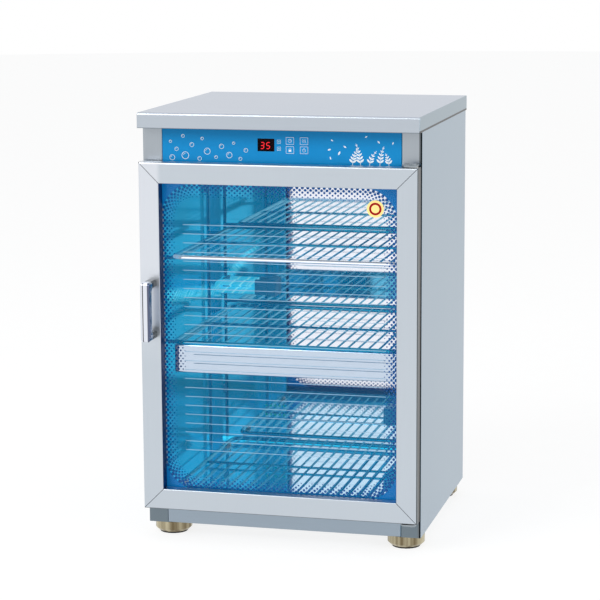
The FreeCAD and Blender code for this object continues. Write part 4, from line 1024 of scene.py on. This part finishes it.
def heat(x, z):
    waves = []
    for offset in (-2.4, 0, 2.4):
        wave = [(x + offset + 0.7 * math.sin(step * 0.9), z - 2.8 + step * 0.7) for step in range(9)]
        waves += stroke(wave, SIGN_LINE)
    return waves


def padlock(x, z):
    case = [(x - 2.4, z - 3), (x + 2.4, z - 3), (x + 2.4, z + 0.6), (x - 2.4, z + 0.6)]
    bow = [(x - 1.6, z + 0.6)] + arc(x, z + 1.6, 1.6, 180, 0, 10) + [(x + 1.6, z + 0.6)]
    return [case] + stroke(bow, SIGN_LINE)


def power(x, z):
    return stroke(arc(x, z - 0.3, 2.8, 125, 415, 20), 0.7) + stroke([(x, z), (x, z + 3.2)], 0.7)


for key, sign in (("timer_key", clock), ("mode_key", heat), ("lock_key", padlock), ("power_key", power)):
    low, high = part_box(key)
    x0, z0 = low[0] / MM + KEY_MARGIN, low[2] / MM + KEY_MARGIN
    x1, z1 = high[0] / MM - KEY_MARGIN, high[2] / MM - KEY_MARGIN
    print(key, low, high)
    marks = thin_frame(x0, x1, z0, z1, KEY_LINE) + sign((x0 + x1) / 2, (z0 + z1) / 2)
    lay_print(key + "_marks", marks, low[1] / MM - HAIR, key, white_ink)

# %% [markdown]
# The two indicators beside the keys are lenses of 3 millimetres. A printed frame round each of them
# makes them easy to find.

# %% Indicator frames
led_low, led_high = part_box("indicator_leds")
print("indicators:", led_low, led_high)
led_x, led_radius = (led_low[0] + led_high[0]) / 2 / MM, (led_high[0] - led_low[0]) / 2 / MM
LED_FRAME, LED_LINE = 3.0, 0.45
frames = []
for z in (led_high[2] / MM - led_radius, led_low[2] / MM + led_radius):
    frames += thin_frame(led_x - LED_FRAME, led_x + LED_FRAME, z - LED_FRAME, z + LED_FRAME, LED_LINE)
lay_print("indicator_frames", frames, FILM_DEPTH, "cabinet", white_ink)

# %% [markdown]
# ## The display
#
# Behind the dark window of such a display sit two digits of seven bars each, of which only the lit
# ones show. Here these are laid on the window's front, so that its tint doesn't dull them. A digit is
# described by the bars that it lights, and each bar is a long hexagon that leans a little.

# %% Seven bar digits
window_low, window_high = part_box("display_lens")
print("window:", window_low, window_high)
BARS = {"top": (0, 2, 1, 2), "upper_left": (0, 1, 0, 2), "upper_right": (1, 1, 1, 2),
        "middle": (0, 1, 1, 1), "lower_right": (1, 0, 1, 1), "bottom": (0, 0, 1, 0)}
LIT = {"3": ("top", "upper_right", "middle", "lower_right", "bottom"),
       "5": ("top", "upper_left", "middle", "lower_right", "bottom")}
DIGIT_WIDTH, DIGIT_HEIGHT, BAR_WIDTH, BAR_GAP, DIGIT_LEAN = 5.6, 10.8, 1.5, 0.25, 0.1
DIGIT_LEFT, DIGIT_RISE, DIGIT_PITCH = 5.2, 4.6, 10.4


def digit_bar(x, z, bar):
    """One bar, from corner to corner of the digit's grid, as a leaning hexagon."""
    ax, az, bx, bz = BARS[bar]
    start = Vector((ax * DIGIT_WIDTH, az * DIGIT_HEIGHT / 2))
    stop = Vector((bx * DIGIT_WIDTH, bz * DIGIT_HEIGHT / 2))
    run = (stop - start).normalized()
    side = Vector((-run.y, run.x)) * BAR_WIDTH / 2
    half = run * BAR_WIDTH / 2
    start, stop = start + run * BAR_GAP, stop - run * BAR_GAP
    upper, lower = (start + half + side, stop - half + side), (stop - half - side, start + half - side)
    outline = [start, *upper, stop, *lower]
    return [(x + point.x + DIGIT_LEAN * point.y, z + point.y) for point in outline]


digits = []
for number, figure in enumerate("35"):
    digit_x = window_low[0] / MM + DIGIT_LEFT + number * DIGIT_PITCH
    digits += [digit_bar(digit_x, window_low[2] / MM + DIGIT_RISE, bar) for bar in LIT[figure]]
red_glow = ink("red_glow", (226, 34, 42), 0.4, 0.8)
lay_print("display_digits", digits, window_low[1] / MM - HAIR, "cabinet", red_glow)

# %% [markdown]
# ## Is everything in its box?
# Dressing must not change the size of the cabinet.
